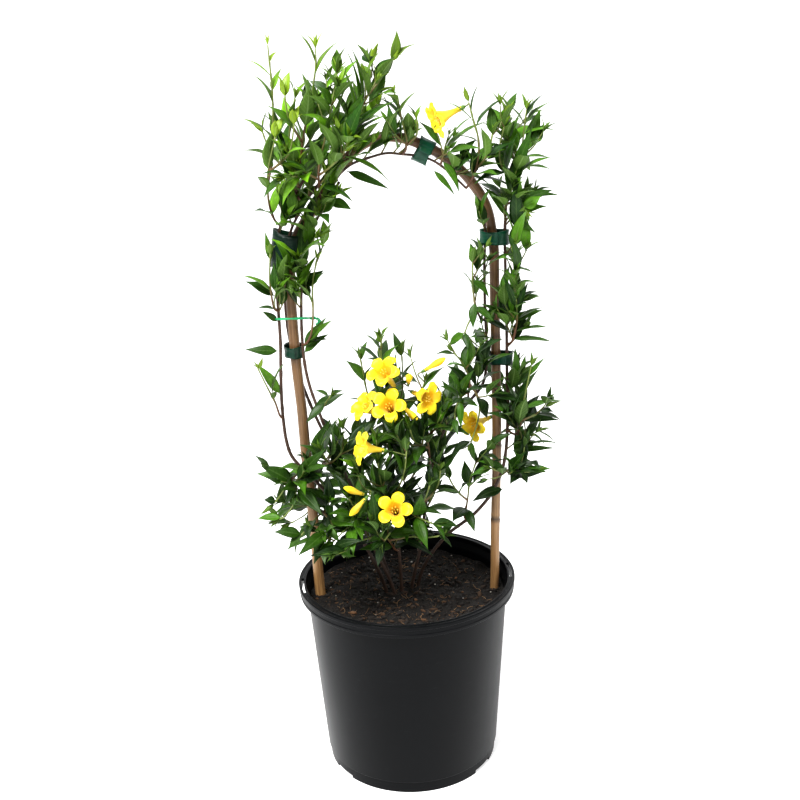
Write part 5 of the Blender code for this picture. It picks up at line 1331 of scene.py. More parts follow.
def soil_finish(settings):
    """Damp potting mix: near black, with browner crumbs."""
    made = Finish("soil_mix", 0.92)
    spots = made.spots()
    clod = made.noise(spots, 120.0, 6.0, 0.7)
    grit = made.noise(spots, 620.0, 4.0, 0.65)
    soil = Vector(settings.soil_colour)
    base = made.mix(made.step(clod, 0.3, 0.7), soil * 0.45, soil * 1.25)
    base = made.mix(made.weaken(made.step(grit, 0.56, 0.72), 0.6), base, (0.075, 0.042, 0.022))
    height = made.math("ADD", clod, made.weaken(grit, 0.6))
    return made.finish(base, height, 0.9, 0.002)


def crumb_finish(name, stops):
    """Bark crumbs and fibres, each its own shade by its age mark."""
    made = Finish(name, 0.85)
    fleck = made.noise(made.spots(), 700.0, 4.0, 0.6)
    base = made.ramp(made.mark("age", "Fac"), stops)
    base = made.mix(fleck, made.darken(base, (0.55, 0.52, 0.5)), base)
    return made.finish(base, fleck, 0.6, 0.0005)


def draw_blade(skin, rng, base, tip, up, width, age, finishes=(0, 1)):
    """One fine leaf: folded along its midrib, arched, a little waved, with an upper and a lower side."""
    run = tip - base
    length = run.length
    axis = run / length
    across = axis.cross(up).normalized()
    face = across.cross(axis)
    chance = rng.random()
    hook, wave, phase = rng.uniform(0.02, 0.11), rng.uniform(0.05, 0.16), rng.uniform(0, math.tau)
    curl, fold = rng.uniform(-0.05, 0.05), LEAF_FOLD * rng.uniform(0.8, 1.15)
    tops, bottoms = [], []
    for share, full in BLADE_EDGE:
        bow = LEAF_ARCH * 4 * share * (1 - share) - hook * max(0.0, share - 0.55) ** 2 * 2.2
        middle = base + run * share + face * (bow * length) + across * (
            curl * length * math.sin(math.pi * share))
        half = full * width / 2
        top, bottom = [], []
        for column in BLADE_COLUMNS:
            lift = abs(column) * fold + wave * column * abs(column) * math.sin(share * 9 + phase)
            spot = middle + across * (column * half) + face * (lift * half)
            thick = BLADE_THICKNESS * 0.5 * MM * (1 - 0.8 * column * column)
            place = (column, share, chance)
            if abs(column) == 1.0:
                edge = skin.add(spot, place, age)
                top.append(edge)
                bottom.append(edge)
            else:
                top.append(skin.add(spot + face * thick, place, age))
                bottom.append(skin.add(spot - face * thick, place, age))
        tops.append(top)
        bottoms.append(bottom)
    skin.sheet(tops, finishes[0], flip=True)
    skin.sheet(bottoms, finishes[1])
    for row, flip in ((0, False), (-1, True)):
        ring = tops[row] + bottoms[row][-2:0:-1]
        skin.face(tuple(ring[::-1] if flip else ring), finishes[1])


def leaf_tip(skin, rng, place, tangent, age, size):
    """The bud at a twig's end: two pairs of small new leaves folded forward."""
    start = rng.uniform(0, math.pi)
    for pair, (lean, reach) in enumerate(((32, 1.0), (14, 0.7))):
        for half in (0, 1):
            turn = start + math.pi * half + math.pi / 2 * pair
            out = Matrix.Rotation(turn, 3, tangent) @ tangent.orthogonal().normalized()
            angle = math.radians(lean + rng.uniform(-6, 6))
            aim = tangent * math.cos(angle) + out * math.sin(angle)
            length = size * reach * rng.uniform(0.8, 1.15) * MM
            if outside(place + aim * length):
                length *= 0.45
            up = tangent - aim * tangent.dot(aim) + out * 0.01
            draw_blade(skin, rng, place, place + aim * length, up, length * 0.26, age)


def clear_leaf(room, rng, base, tip, up, width):
    """A leaf turned a little until it clears what is drawn already, or None."""
    run = tip - base
    for attempt in range(6):
        swing = 0.09 * attempt
        turn = Vector([rng.uniform(-swing, swing) for _ in range(3)]) * run.length
        end = base + run * (1 - 0.03 * attempt) + turn
        if outside(end) or not in_mass(end):
            continue
        shape = blade(base, end, up, width * 0.8, 0.0, PAST_ROOT)
        if not room.meets(shape, ()):
            room.add("fine", blade(base, end, up, width * 0.8, 0.0, 0.3))
            return end
    return None


def outside(point):
    """Whether a point lies past the room that the plain model takes up."""
    low, high = CAD_BOX
    return any(not a - SPILL * MM < v < b + SPILL * MM for v, a, b in zip(point, low, high))


def in_mass(point):
    """Whether the onlooker sees a point within one of the masses of leaves."""
    x, z = view_of(point) / MM
    for corners in MASSES:
        crossings = 0
        for (ax, az), (bx, bz) in zip(corners, corners[1:] + corners[:1]):
            if (az > z) != (bz > z) and x < ax + (bx - ax) * (z - az) / (bz - az):
                crossings += 1
        if crossings % 2:
            return True
    return False


def draw_sprig(skin, rng, room, place, tangent, out, length, size, age, bark=0.0):
    """A short side twig from a joint, with its pairs of leaves and its end bud."""
    lean = math.radians(rng.uniform(32, 58))
    aim = (tangent * math.cos(lean) + out * math.sin(lean) + Vector((0, 0, 0.35))).normalized()
    bend = aim + Vector((rng.uniform(-0.3, 0.3), rng.uniform(-0.3, 0.3), rng.uniform(0.1, 0.5)))
    bend = aim + bend.normalized()
    route = smooth([place, place + aim * length * 0.5, place + bend * length * 0.5], 3.0)
    clear = [place + aim * bark, *route[1:]] if bark else route[1:]
    if outside(route[-1]) or not in_mass(route[-1]):
        return False
    if room.meets(pipe(clear, [0.8 * MM] * len(clear), 5), ()):
        return False
    skin.tube(route, taper(route, 0.75, 0.45), TWIG_SIDES, 2, (0.5, 1.0))
    turn = rng.uniform(0, math.pi)
    spot = rng.uniform(5, 8) * MM
    while spot < length - 2 * MM:
        base, run = along(route, spot)
        for half in (0, math.pi):
            side = Matrix.Rotation(turn + half, 3, run) @ run.orthogonal().normalized()
            spread = math.radians(rng.uniform(30, 52))
            reach = size * rng.uniform(0.8, 1.25) * MM
            leaf = run * math.cos(spread) + side * math.sin(spread) + Vector((0, -0.08, 0.16))
            tip = base + leaf.normalized() * reach
            width = reach * BROAD * rng.uniform(0.88, 1.12)
            up = upward(run, tip - base)
            end = clear_leaf(room, rng, base, tip, up, width)
            if end:
                youth = min(1.0, max(0.0, age + rng.uniform(-0.1, 0.1)))
                draw_blade(skin, rng, base, end, up, width, youth)
        turn += math.pi / 2 + rng.uniform(-0.3, 0.3)
        spot += rng.uniform(8, 12) * MM
    end, run = along(route, route_length(route))
    leaf_tip(skin, rng, end, run, min(1.0, age + 0.3), size * 0.45)
    return True


def draw_cover(skin, room, stems, spray):
    """The sprigs of a spray that grow straight from a stem."""
    for number, (name, stem, shares, count, size, age, out) in enumerate(COVER):
        if name != spray:
            continue
        rng = random.Random(f"{spray} {number}")
        route = stems[stem][0]
        total = route_length(route)
        for k in range(count):
            share = shares[0] + (shares[1] - shares[0]) * (k + rng.random()) / count
            place, tangent = along(route, total * share)
            for attempt in range(3):
                way = Vector(out) + Vector([rng.uniform(-0.55, 0.55) for _ in range(3)])
                way = (way - tangent * way.dot(tangent)).normalized()
                length = rng.uniform(16, 38 - 8 * attempt) * MM
                if draw_sprig(skin, rng, room, place, tangent, way, length, size, age, 3.4 * MM):
                    break


def draw_shoot(skin, rng, name, twigs, stalks, stems, room, sprigs):
    """A shoot's twigs, leaves, side sprigs, end buds and flower stalks."""
    parent, size = SHOOTS[name][:2]
    new = YOUNG.get(name, OLD_SHOOT)
    carrier = stems[parent][0]
    for number, twig in enumerate(twigs):
        route, total = twig["route"], route_length(twig["route"])
        start = [nearest(carrier, route[0])[0]] if number == 0 else []
        fine = smooth([*start, *route[::2], *([route[-1]] if len(route) % 2 == 0 else [])], 3.0)
        radii = [(1.05 - 0.5 * (k / (len(fine) - 1))) * MM for k in range(len(fine))]
        for joint in twig["joints"]:
            for k, place in enumerate(fine):
                if (place - joint["place"]).length < 2.2 * MM:
                    radii[k] += 0.22 * MM
        skin.tube(fine, radii, TWIG_SIDES, 2, (0.25 if number == 0 else 0.45, 1.0))
        for joint in twig["joints"]:
            along_twig = joint["spot"] / total
            for tip, up, width, _ in joint["leaves"].values():
                age = new * along_twig ** 1.6 + rng.uniform(-0.08, 0.08)
                draw_blade(skin, rng, joint["place"], tip, up, width * FULLER, max(0.0, min(1.0, age)))
            for side in range(4):
                if rng.random() < sprigs * FULLNESS.get(name, 1.0):
                    draw_sprig(skin, rng, room, joint["place"], joint["tangent"], outward(joint, side),
                               rng.uniform(14, 34) * MM, size, new * along_twig ** 1.6)
        end, tangent = along(route, total)
        leaf_tip(skin, rng, end, tangent, min(1.0, 0.45 + new * 0.6), size * 0.42)
    for route, _ in stalks:
        fine = smooth(route, 2.0)
        skin.tube(fine, [0.62 * MM] * len(fine), TWIG_SIDES, 2, (0.8, 1.0))


def draw_bloom(skin, rng, base, mouth):
    """One funnel flower of five round lobes, with its green calyx, anthers and style."""
    axis = (mouth - base).normalized()
    reach = (mouth - base).length
    side = axis.cross(Vector((0, 0, 1))).normalized()
    other = axis.cross(side)
    full = BLOOM_WIDTH / 2 * MM
    # How far up the flower, its radius, and the mark that colours it
    tube = ((0.0, 1.5, 0.0), (0.10, 1.9, 0.1), (0.25, 2.2, 0.2), (0.40, 2.7, 0.32), (0.52, 3.5, 0.42),
            (0.64, 4.7, 0.5), (0.75, 6.0, 0.56), (0.84, 7.1, 0.62))
    # How far out on its lobes, how high, and the mark
    limb = ((0.25, 0.90, 0.66), (0.45, 0.955, 0.74), (0.65, 0.985, 0.82), (0.82, 0.99, 0.9),
            (0.94, 0.98, 0.96), (1.0, 0.965, 1.0))
    phases = [rng.uniform(0, math.tau) for _ in range(5)]
    lifts = [rng.uniform(-0.05, 0.05) for _ in range(5)]
    rows = []
    for share, radius, mark in tube:
        row = []
        for k in range(BLOOM_FLATS):
            turn = math.tau * k / BLOOM_FLATS
            flute = 1 + 0.05 * math.sin(turn * 5 + 1.0) * share
            c, s = math.cos(turn), math.sin(turn)
            out = (side * c + other * s) * (radius * flute * MM)
            row.append(skin.add(base + axis * (reach * share) + out, (c, s, mark)))
        rows.append(row)
    throat = 7.1 * MM
    for share, height, mark in limb:
        row = []
        for k in range(BLOOM_FLATS):
            turn = math.tau * k / BLOOM_FLATS
            lobe = int(k * 5 / BLOOM_FLATS)
            round_off = abs(math.sin(turn * 2.5)) ** 0.6
            edge = (7.5 + (full / MM - 7.5) * round_off) * MM
            radius = throat + (edge - throat) * share
            ruffle = 0.018 * math.sin(turn * 15 + phases[lobe]) * share**2
            level = height + ruffle + lifts[lobe] * share**2 * round_off - 0.05 * share**3 * round_off
            c, s = math.cos(turn), math.sin(turn)
            out = (side * c + other * s) * radius
            row.append(skin.add(base + axis * (reach * level) + out, (c, s, mark)))
        rows.append(row)
    skin.sheet(rows, 0, closed=True, flip=True)
    for k in range(5):
        turn = math.tau * (k + 0.5) / 5
        out = side * math.cos(turn) + other * math.sin(turn)
        foot = base - axis * 1.6 * MM
        sepal = base + axis * 4.6 * MM + out * 2.9 * MM
        draw_blade(skin, rng, foot + out * 0.6 * MM, sepal, -out + axis * 0.2, 2.4 * MM, 0.4, (1, 1))
        stalk = [base + axis * reach * 0.3 + out * 1.2 * MM, base + axis * reach * 0.6 + out * 2.2 * MM,
                 base + axis * reach * 0.86 + out * 2.4 * MM]
        filament = smooth(stalk, 3.0)
        skin.tube(filament, [0.28 * MM] * len(filament), 5, 2)
        top = stalk[-1]
        anther = [top - axis * 1.3 * MM, top - axis * 0.8 * MM, top + axis * 0.6 * MM,
                  top + axis * 1.3 * MM]
        skin.tube(anther, [0.2 * MM, 0.62 * MM, 0.6 * MM, 0.15 * MM], 6, 3)
    style = [base + axis * reach * 0.3, base + axis * reach * 0.97]
    skin.tube(style, [0.3 * MM, 0.25 * MM], 5, 2)
    cup = [base - axis * 2.6 * MM, base - axis * 1.4 * MM, base, base + axis * 1.8 * MM]
    skin.tube(cup, [0.7 * MM, 1.5 * MM, 1.8 * MM, 2.0 * MM], 10, 1)


def draw_bud(skin, rng, base, tip):
    """One closed bud, twisted like a rolled umbrella."""
    axis = (tip - base).normalized()
    reach = (tip - base).length
    side = axis.orthogonal().normalized()
    other = axis.cross(side)
    shape = ((0.0, 1.1), (0.12, 1.5), (0.3, 1.8), (0.48, 2.5), (0.62, 3.0), (0.74, 2.9), (0.85, 2.2),
             (0.93, 1.4), (0.98, 0.8), (1.0, 0.2))
    rows = []
    for share, radius in shape:
        row = []
        for k in range(BUD_FLATS):
            turn = math.tau * k / BUD_FLATS + share * 1.1
            ridge = 1 + 0.09 * math.sin(turn * 5 - share * 5.5) * min(1.0, share * 2)
            c, s = math.cos(turn), math.sin(turn)
            out = (side * c + other * s) * (radius * ridge * MM)
            row.append(skin.add(base + axis * (reach * share) + out, (c, s, 0.1 + 0.7 * share)))
        rows.append(row)
    skin.sheet(rows, 0, closed=True)
    cap = skin.add(tip, (0, 0, 0.8))
    for k in range(BUD_FLATS):
        skin.face((rows[-1][k], rows[-1][(k + 1) % BUD_FLATS], cap), 0)
    for k in range(5):
        out = side * math.cos(math.tau * k / 5) + other * math.sin(math.tau * k / 5)
        foot = base - axis * 1.4 * MM + out * 0.5 * MM
        sepal = base + axis * 4.2 * MM + out * 2.2 * MM
        draw_blade(skin, rng, foot, sepal, -out + axis * 0.2, 2.2 * MM, 0.4, (1, 1))
    cup = [base - axis * 2.4 * MM, base - axis * MM, base + axis * 1.4 * MM]
    skin.tube(cup, [0.7 * MM, 1.4 * MM, 1.6 * MM], 10, 1)


# Which way the lone leaves face
TOWARDS = Vector((0.0, -0.75, 0.65))
# How far in front of a flower and of a tie the sprigs leave the view open, in millimetres
BLOOM_SIGHT = 70
TIE_SIGHT = 60
TIES_IN_SIGHT = ("tie_shoulder_right", "tie_arch")


def draw_leaves(name, settings):
    """One spray of leaves, with its twigs, in place of the plain shoots it stands for."""
    room, stems, shoots, stalks = PLANT
    skin = Skin()
    for shoot in SPRAYS[name]:
        draw_shoot(skin, random.Random(shoot + " fine"), shoot, shoots[shoot], stalks[shoot], stems, room,
                   settings.sprigs)
    draw_cover(skin, room, stems, name)
    for number, (spray, foot, tip, width) in enumerate(LONE_LEAVES):
        if spray == name:
            draw_blade(skin, random.Random(f"lone {number}"), mm(foot), mm(tip), TOWARDS, width * MM, 0.15)
    return skin


def keep_sight(room):
    """Keeps sprigs from growing in front of a flower, across a tie in sight or into a lone leaf."""
    for spray, foot, tip, width in LONE_LEAVES:
        room.add(spray, blade(mm(foot), mm(tip), TOWARDS, width * 0.8 * MM, 0.0, 0.3))
    eye = mm(EYE)
    for name, (_, _, head) in {**BLOOMS, **BUDS}.items():
        start, wide = seen(head), BLOOM_WIDTH * (0.52 if name in BLOOMS else 0.3) * MM
        way = (eye - start).normalized()
        room.add(name, pipe([start + way * 2 * MM, start + way * BLOOM_SIGHT * MM], [wide, wide], 10))
    for name in TIES_IN_SIGHT:
        start = mm(BANDS[name][0])
        way = (eye - start).normalized()
        room.add(name, pipe([start, start + way * TIE_SIGHT * MM], [11 * MM] * 2, 10))


def rounded(corners):
    """A profile whose corners (radius, height, rounding) are eased over that many millimetres."""
    made = []
    for k, (r, z, ease) in enumerate(corners):
        if not ease:
            made.append((r, z))
            continue
        here = Vector((r, z))
        before = (Vector(corners[k - 1][:2]) - here).normalized() * ease
        after = (Vector(corners[k + 1][:2]) - here).normalized() * ease
        for n in range(5):
            t = n / 4
            made.append(tuple(here + before * (1 - t) ** 2 + after * t**2))
    return made


def pot_mesh(sides):
    """The pot turned from its rounded profile."""
    top, inner = POT_HEIGHT, RIM_RADIUS - LIP_WIDTH
    low = top - SKIRT_HEIGHT
    profile = rounded((
        (0, 3.0, 0), (FOOT_RADIUS - WALL, 3.0, 0.8), (FOOT_RADIUS - WALL, FOOT_HEIGHT - 1, 0.6),
        (BODY_FOOT_RADIUS - WALL, FOOT_HEIGHT + 1, 0.6), (BODY_TOP_RADIUS - WALL, low, 1.0),
        (inner, top - 4.5, 0.8), (inner, top, 1.0), (inner + 2.1, top - 0.1, 0.3),
        (inner + 2.4, top - 0.5, 0.3), (RIM_RADIUS - 1.9, top - 0.5, 0.2), (RIM_RADIUS - 1.6, top, 0.2),
        (RIM_RADIUS, top, 0.7), (RIM_RADIUS - 0.1, top - 3.2, 0.3), (RIM_RADIUS - 0.7, top - 3.6, 0.2),
        (RIM_RADIUS - 0.9, top - 7.4, 0.3), (RIM_RADIUS - 0.5, top - 7.8, 0.2),
        (RIM_RADIUS - 0.9, low, 0.4), (RIM_RADIUS - 2.6, low, 0.3), (RIM_RADIUS - 2.6, top - 2.8, 0.4),
        (inner + WALL, top - 2.8, 0.5),
        (BODY_TOP_RADIUS, low - 0.6, 1.5), (BODY_FOOT_RADIUS, FOOT_HEIGHT + 0.6, 0.5),
        (FOOT_RADIUS, FOOT_HEIGHT - 0.4, 0.5), (FOOT_RADIUS, 0, 0.8), (0, 0, 0)))
    work = bmesh.new()
    rings = []
    for r, z in profile:
        if r == 0:
            rings.append([work.verts.new((0, 0, z * MM))])
            continue
        rings.append([work.verts.new((r * MM * math.cos(a), r * MM * math.sin(a), z * MM))
                      for a in (math.tau * k / sides for k in range(sides))])
    for lower, upper in zip(rings, rings[1:]):
        for k in range(sides):
            n = (k + 1) % sides
            if len(lower) == 1:
                work.faces.new((lower[0], upper[n], upper[k]))
            elif len(upper) == 1:
                work.faces.new((lower[k], lower[n], upper[0]))
            else:
                work.faces.new((lower[k], lower[n], upper[n], upper[k]))
    bmesh.ops.recalc_face_normals(work, faces=work.faces)
    mesh = bpy.data.meshes.new("pot")
    work.to_mesh(mesh)
    work.free()
    return mesh


def pot_cutters():
    """The blocks that cut the two hanger slots and the cut-outs round the foot."""
    cutters = []
    for angle in [turn + step for turn in SLOT_TURNS for step in SLOT_STEPS]:
        turn = Matrix.Rotation(math.radians(angle), 4, "Z")
        spot = Matrix.Translation((SLOT_RADIUS * MM, 0, (POT_HEIGHT - 1) * MM))
        cutters.append((*SLOT_SIZE, 6.0, turn @ spot))
    for angle in NOTCH_TURNS:
        turn = Matrix.Rotation(math.radians(angle), 4, "Z")
        cutters.append((*NOTCH_SIZE, turn @ Matrix.Translation(((FOOT_RADIUS - 1.0) * MM, 0, 0))))
    return cutters


def carve(thing, cutters):
    """Cuts blocks out of an object and keeps the result as its mesh."""
    blocks = bpy.data.collections.new("pot_cuts")
    for *size, place in cutters:
        mesh = bpy.data.meshes.new("pot_cut")
        work = bmesh.new()
        bmesh.ops.create_cube(work, size=1.0)
        bmesh.ops.scale(work, verts=work.verts, vec=Vector(size) * MM)
        bmesh.ops.transform(work, verts=work.verts, matrix=place)
        work.to_mesh(mesh)
        work.free()
        blocks.objects.link(bpy.data.objects.new("pot_cut", mesh))
    bpy.context.scene.collection.children.link(blocks)
    step = thing.modifiers.new("cuts", "BOOLEAN")
    step.operation = "DIFFERENCE"
    step.solver = "EXACT"
    step.operand_type = "COLLECTION"
    step.collection = blocks
    bpy.context.view_layer.update()
    cut_mesh = bpy.data.meshes.new_from_object(thing.evaluated_get(bpy.context.evaluated_depsgraph_get()))
    thing.modifiers.clear()
    thing.data = cut_mesh
    for block in list(blocks.objects):
        bpy.data.objects.remove(block)
    bpy.data.collections.remove(blocks)


def inner_wall(height):
    """The inner radius of the pot at a height, less a hair."""
    share = (height - FOOT_HEIGHT - 1) / (POT_HEIGHT - SKIRT_HEIGHT - FOOT_HEIGHT - 1)
    return BODY_FOOT_RADIUS + (BODY_TOP_RADIUS - BODY_FOOT_RADIUS) * share - WALL - 0.2


def crumble(x, y):
    """The height of the fine soil: the plain mound, with lumps and crumbs on it."""
    lumps = noise.noise(Vector((x, y, 3.0)) * 0.09) * 1.6 + noise.noise(Vector((x, y, 9.0)) * 0.3) * 1.1
    crumbs = noise.noise(Vector((x, y, 20.0)) * 0.8) * 0.6
    return soil_height(x, y) + lumps + crumbs


def draw_soil(skin):
    """The soil: a crumbled top that meets the wall, its side and its floor."""
    full = inner_wall(SOIL_TOP)
    rings, bed = 52, 3.4
    turns = [math.tau * side / SOIL_FLATS for side in range(SOIL_FLATS)]
    rows = []
    for k in range(1, rings + 1):
        radius = full * k / rings
        row = []
        for turn in turns:
            x, y = radius * math.cos(turn), radius * math.sin(turn)
            row.append(skin.add(mm((x, y, crumble(x, y)))))
        rows.append(row)
    for radius, height in ((inner_wall(FOOT_HEIGHT + 2) - 1, FOOT_HEIGHT + 2.0),
                           (FOOT_RADIUS - WALL - 1, bed)):
        rows.append([skin.add(mm((radius * math.cos(turn), radius * math.sin(turn), height)))
                     for turn in turns])
    skin.sheet(rows, 0, closed=True, flip=True)
    top, floor = skin.add(mm((0, 0, crumble(0, 0)))), skin.add(mm((0, 0, bed)))
    for k in range(SOIL_FLATS):
        n = (k + 1) % SOIL_FLATS
        skin.face((top, rows[0][k], rows[0][n]), 0)
        skin.face((floor, rows[-1][n], rows[-1][k]), 0)


def draw_chip(skin, rng, spot, size, shade, finish, slim=0.45, flat=0.3):
    """One crumb of bark: an uneven splinter, longer than wide and lying askew."""
    turn = Matrix.Rotation(rng.uniform(0, math.tau), 3, "Z")
    turn = turn @ Matrix.Rotation(rng.uniform(-0.5, 0.5), 3, "X")
    turn = turn @ Matrix.Rotation(rng.uniform(-0.4, 0.4), 3, "Y")
    count = rng.choice((5, 6, 7))
    rows = []
    for height, share in ((-0.5, 0.6), (-0.15, 1.0), (0.3, 0.9), (0.5, 0.5)):
        row = []
        for k in range(count):
            angle = math.tau * k / count
            reach = share * rng.uniform(0.65, 1.1)
            offset = Vector((math.cos(angle) * reach, math.sin(angle) * reach * slim, height * flat * 2))
            row.append(skin.add(spot + turn @ (offset * size), (0, 0, 0), shade))
        rows.append(row)
    skin.sheet(rows, finish, closed=True)
    skin.face(tuple(rows[0][::-1]), finish)
    skin.face(tuple(rows[-1]), finish)


def strewn(rng, full):
    """A place on the soil, anywhere as likely as anywhere else."""
    radius, turn = full * math.sqrt(rng.random()), rng.uniform(0, math.tau)
    return radius * math.cos(turn), radius * math.sin(turn)


# How big a crumb is for the middling one
CRUMB_SIZES = (0.4, 0.5, 0.6, 0.8, 1.0, 1.3, 1.9)


def draw_crumbs(skin, settings):
    """Bark splinters, pale fibres and a few white grains strewn over the soil."""
    rng = random.Random("crumbs")
    full = inner_wall(SOIL_TOP) - 1.5
    for _ in range(settings.crumb_count):
        x, y = strewn(rng, full)
        size = settings.crumb_size * rng.choice(CRUMB_SIZES) * rng.uniform(0.8, 1.25)
        size = min(size, max(1.2, full - math.hypot(x, y)) * MM)
        # Crumbs at the front are painted lighter and those at the back darker: painted light in front and
        # painted shade at the back
        front = 0.5 - 0.5 * y / full
        shade = rng.gauss(0.26 + 0.14 * front, 0.17) + (0.4 if rng.random() < 0.05 else 0)
        lift = 0.12 * size / MM
        draw_chip(skin, rng, mm((x, y, crumble(x, y) + lift)), size, min(1.0, max(0.0, shade)), 1,
                  rng.uniform(0.28, 0.6))
    for _ in range(settings.crumb_count // 16):
        x, y = strewn(rng, full * 0.94)
        heading, bend = rng.uniform(0, math.tau), rng.uniform(-0.5, 0.5)
        stride = rng.uniform(0.9, 2.0)
        route = []
        for k in range(5):
            px, py = x + math.cos(heading) * stride * k, y + math.sin(heading) * stride * k
            heading += bend
            if math.hypot(px, py) > full - 1:
                break
            route.append(mm((px, py, crumble(px, py) + 0.7 + rng.uniform(0, 0.8))))
        if len(route) > 2:
            skin.tube(route, [0.24 * MM] * len(route), 4, 2, (rng.random(),) * 2)
    for _ in range(settings.crumb_count // 90):
        x, y = strewn(rng, full)
        draw_chip(skin, rng, mm((x, y, crumble(x, y) + 0.4)), rng.uniform(0.6, 1.3) * MM, rng.random(), 3,
                  0.9, 0.5)


def ring_shares(route):
    """How far along the hoop's route each of its rings lies, from 0 to 1."""
    return [nearest(route, mm((x, 0, z)))[2] for x, z in CANE_RINGS]


def fine_radius(radii, share):
    """The radius at a share of a route whose radii are listed evenly along it."""
    place = share * (len(radii) - 1)
    k = min(len(radii) - 2, int(place))
    return radii[k] + (radii[k + 1] - radii[k]) * (place - k)


def draw_cane(skin, swell):
    """The hoop: a cane with swollen rings where its leaves once stood."""
    plain, radii = cane()
    route = smooth(plain, 2.0)
    rings = ring_shares(route)
    total = route_length(route) / MM
    fine = []
    for k in range(len(route)):
        share = k / (len(route) - 1)
        radius = fine_radius(radii, share)
        for ring in rings:
            off = (share - ring) * total
            rise, notch = math.exp(-(off / 3.2) ** 2), math.exp(-((off + 1.2) / 0.9) ** 2)
            radius *= 1 + swell * rise - 1.3 * swell * notch
        fine.append(radius * (1 + 0.012 * math.sin(share * 90)))
    skin.tube(route, fine, CANE_SIDES, 0, (0.0, 1.0))


def cane_tones(settings):
    """The hoop's colours from its left foot to its right one, with a dark line at each ring."""
    left, arch, right = settings.left_tone, settings.arch_tone, settings.right_tone
    # The legs darken up into the leaves through the shaded stops: painted shade where the leaves hang over
    # them
    shaded = (Vector(left) * 0.5, Vector(right) * 0.55)
    tones = ((0.0, left), (0.10, left), (0.18, shaded[0]), (0.42, arch), (0.60, arch), (0.80, shaded[1]),
             (0.90, right), (1.0, right))
    plain, _ = cane()
    stops = [(share, Vector(tone)) for share, tone in tones]
    for ring in ring_shares(smooth(plain, 2.0)):
        low = max(stop for stop in stops if stop[0] <= ring)
        high = min((stop for stop in stops if stop[0] > ring), default=low)
        tone = low[1].lerp(high[1], (ring - low[0]) / max(1e-6, high[0] - low[0]))
        stops += [(ring - 0.003, tone), (ring - 0.0005, tone * 0.22), (ring + 0.002, tone * 1.05)]
    return sorted(((share, tuple(tone)) for share, tone in stops), key=lambda stop: stop[0])


def draw_stem(skin, name, plain, radii):
    """A woody stem: knobbly, with a swelling at each old leaf scar."""
    rng = random.Random(name)
    route = smooth(plain, 3.0)
    fine, next_scar = [], rng.uniform(20, 40)
    length = 0.0
    for k, place in enumerate(route):
        share = k / (len(route) - 1)
        length += (place - route[max(0, k - 1)]).length / MM
        radius = fine_radius(radii, share) * (1 + 0.05 * noise.noise(place * 160))
        if abs(length - next_scar) < 2.0:
            radius *= 1.16
        elif length > next_scar:
            next_scar += rng.uniform(24, 42)
        fine.append(radius)
    skin.tube(route, fine, STEM_SIDES, 0, (0.0, 1.0))


# Ties painted darker, as painted shade among the leaves, from 0 for none to 1
SHADED_TIES = {"tie_shoulder_left": 0.85, "tie_leg_left": 0.6, "tie_leg_right": 0.5}


def draw_tape(skin, name):
    """A creased strip of tape, wound a little more than once round the hoop and its stems."""
    rng = random.Random(name)
    low, high, turn = band_route(name)
    wide, deep = BANDS[name][1:3]
    middle, rise = low.lerp(high, 0.5), (high - low) * 0.5
    start, wraps, columns, rows = rng.uniform(2.6, 3.6), 1.3, 90, 6
    seed = rng.uniform(0, 50)
    inner, outer = [], []
    for row in range(rows + 1):
        level = 2 * row / rows - 1
        ins, outs = [], []
        for k in range(columns + 1):
            share = k / columns
            angle = start + math.tau * wraps * share
            climb = 0.62 * max(0.0, share - 1 / wraps) * wraps * 4
            free = 2.6 * max(0.0, share - 0.93) / 0.07
            c, s = math.cos(angle), math.sin(angle)
            crease = noise.noise(Vector((c * 2.4, s * 2.4, level * 1.2 + seed)))
            flare = 0.3 * abs(level) ** 4
            grown = -0.5 + min(climb, 0.62) + free + 0.55 * crease * (1 - 0.3 * level) + flare
            out = Vector((c * (wide + grown), s * (deep + grown), 0)) * MM
            sag = rise * (level * (0.94 + 0.1 * math.sin(angle * 2 + seed)) + 0.14 * (share - 0.5))
            spot = middle + turn @ out + sag
            thick = (turn @ Vector((c, s, 0))) * 0.28 * MM
            # The age mark carries this tie's painted shade
            ins.append(skin.add(spot - thick, (share, level, 0), SHADED_TIES.get(name, 0)))
            outs.append(skin.add(spot + thick, (share, level, 0), SHADED_TIES.get(name, 0)))
        inner.append(ins)
        outer.append(outs)
    skin.sheet(outer, 0)
    skin.sheet(inner, 0, flip=True)
    skin.sheet([inner[0], outer[0]], 0)
    skin.sheet([outer[-1], inner[-1]], 0)
    skin.sheet([[row[0] for row in outer], [row[0] for row in inner]], 0)
    skin.sheet([[row[-1] for row in inner], [row[-1] for row in outer]], 0)


def draw_wire(skin):
    """The twist wire: its loop, and its two ends twisted round each other."""
    middle = mm(WIRE_MIDDLE)
    for strand in (-0.35, 0.35):
        loop = []
        for k in range(LOOP_FLATS + 1):
            turn = math.tau * k / LOOP_FLATS
            deep = math.sin(turn) * WIRE_HALF[1]
            rise = -deep * WIRE_DIP + strand * math.cos(turn * 3)
            loop.append(middle + mm((math.cos(turn) * (WIRE_HALF[0] + strand), deep, rise)))
        skin.tube(loop, [WIRE_RADIUS * 0.9 * MM] * len(loop), 10, 0)
    tail = smooth([mm(p) for p in WIRE_TAIL], 0.6)
    for strand in (0, 1):
        route = []
        for k, place in enumerate(tail):
            tangent = (tail[min(len(tail) - 1, k + 1)] - tail[max(0, k - 1)]).normalized()
            side = tangent.cross(Vector((0, 0.3, 1))).normalized()
            turn = k * 0.55 + math.pi * strand
            wide = 0.75 * MM * min(1.0, k / 4)
            route.append(place + (side * math.cos(turn) + tangent.cross(side) * math.sin(turn)) * wide)
        skin.tube(route, [WIRE_RADIUS * 0.85 * MM] * len(route), 8, 0)


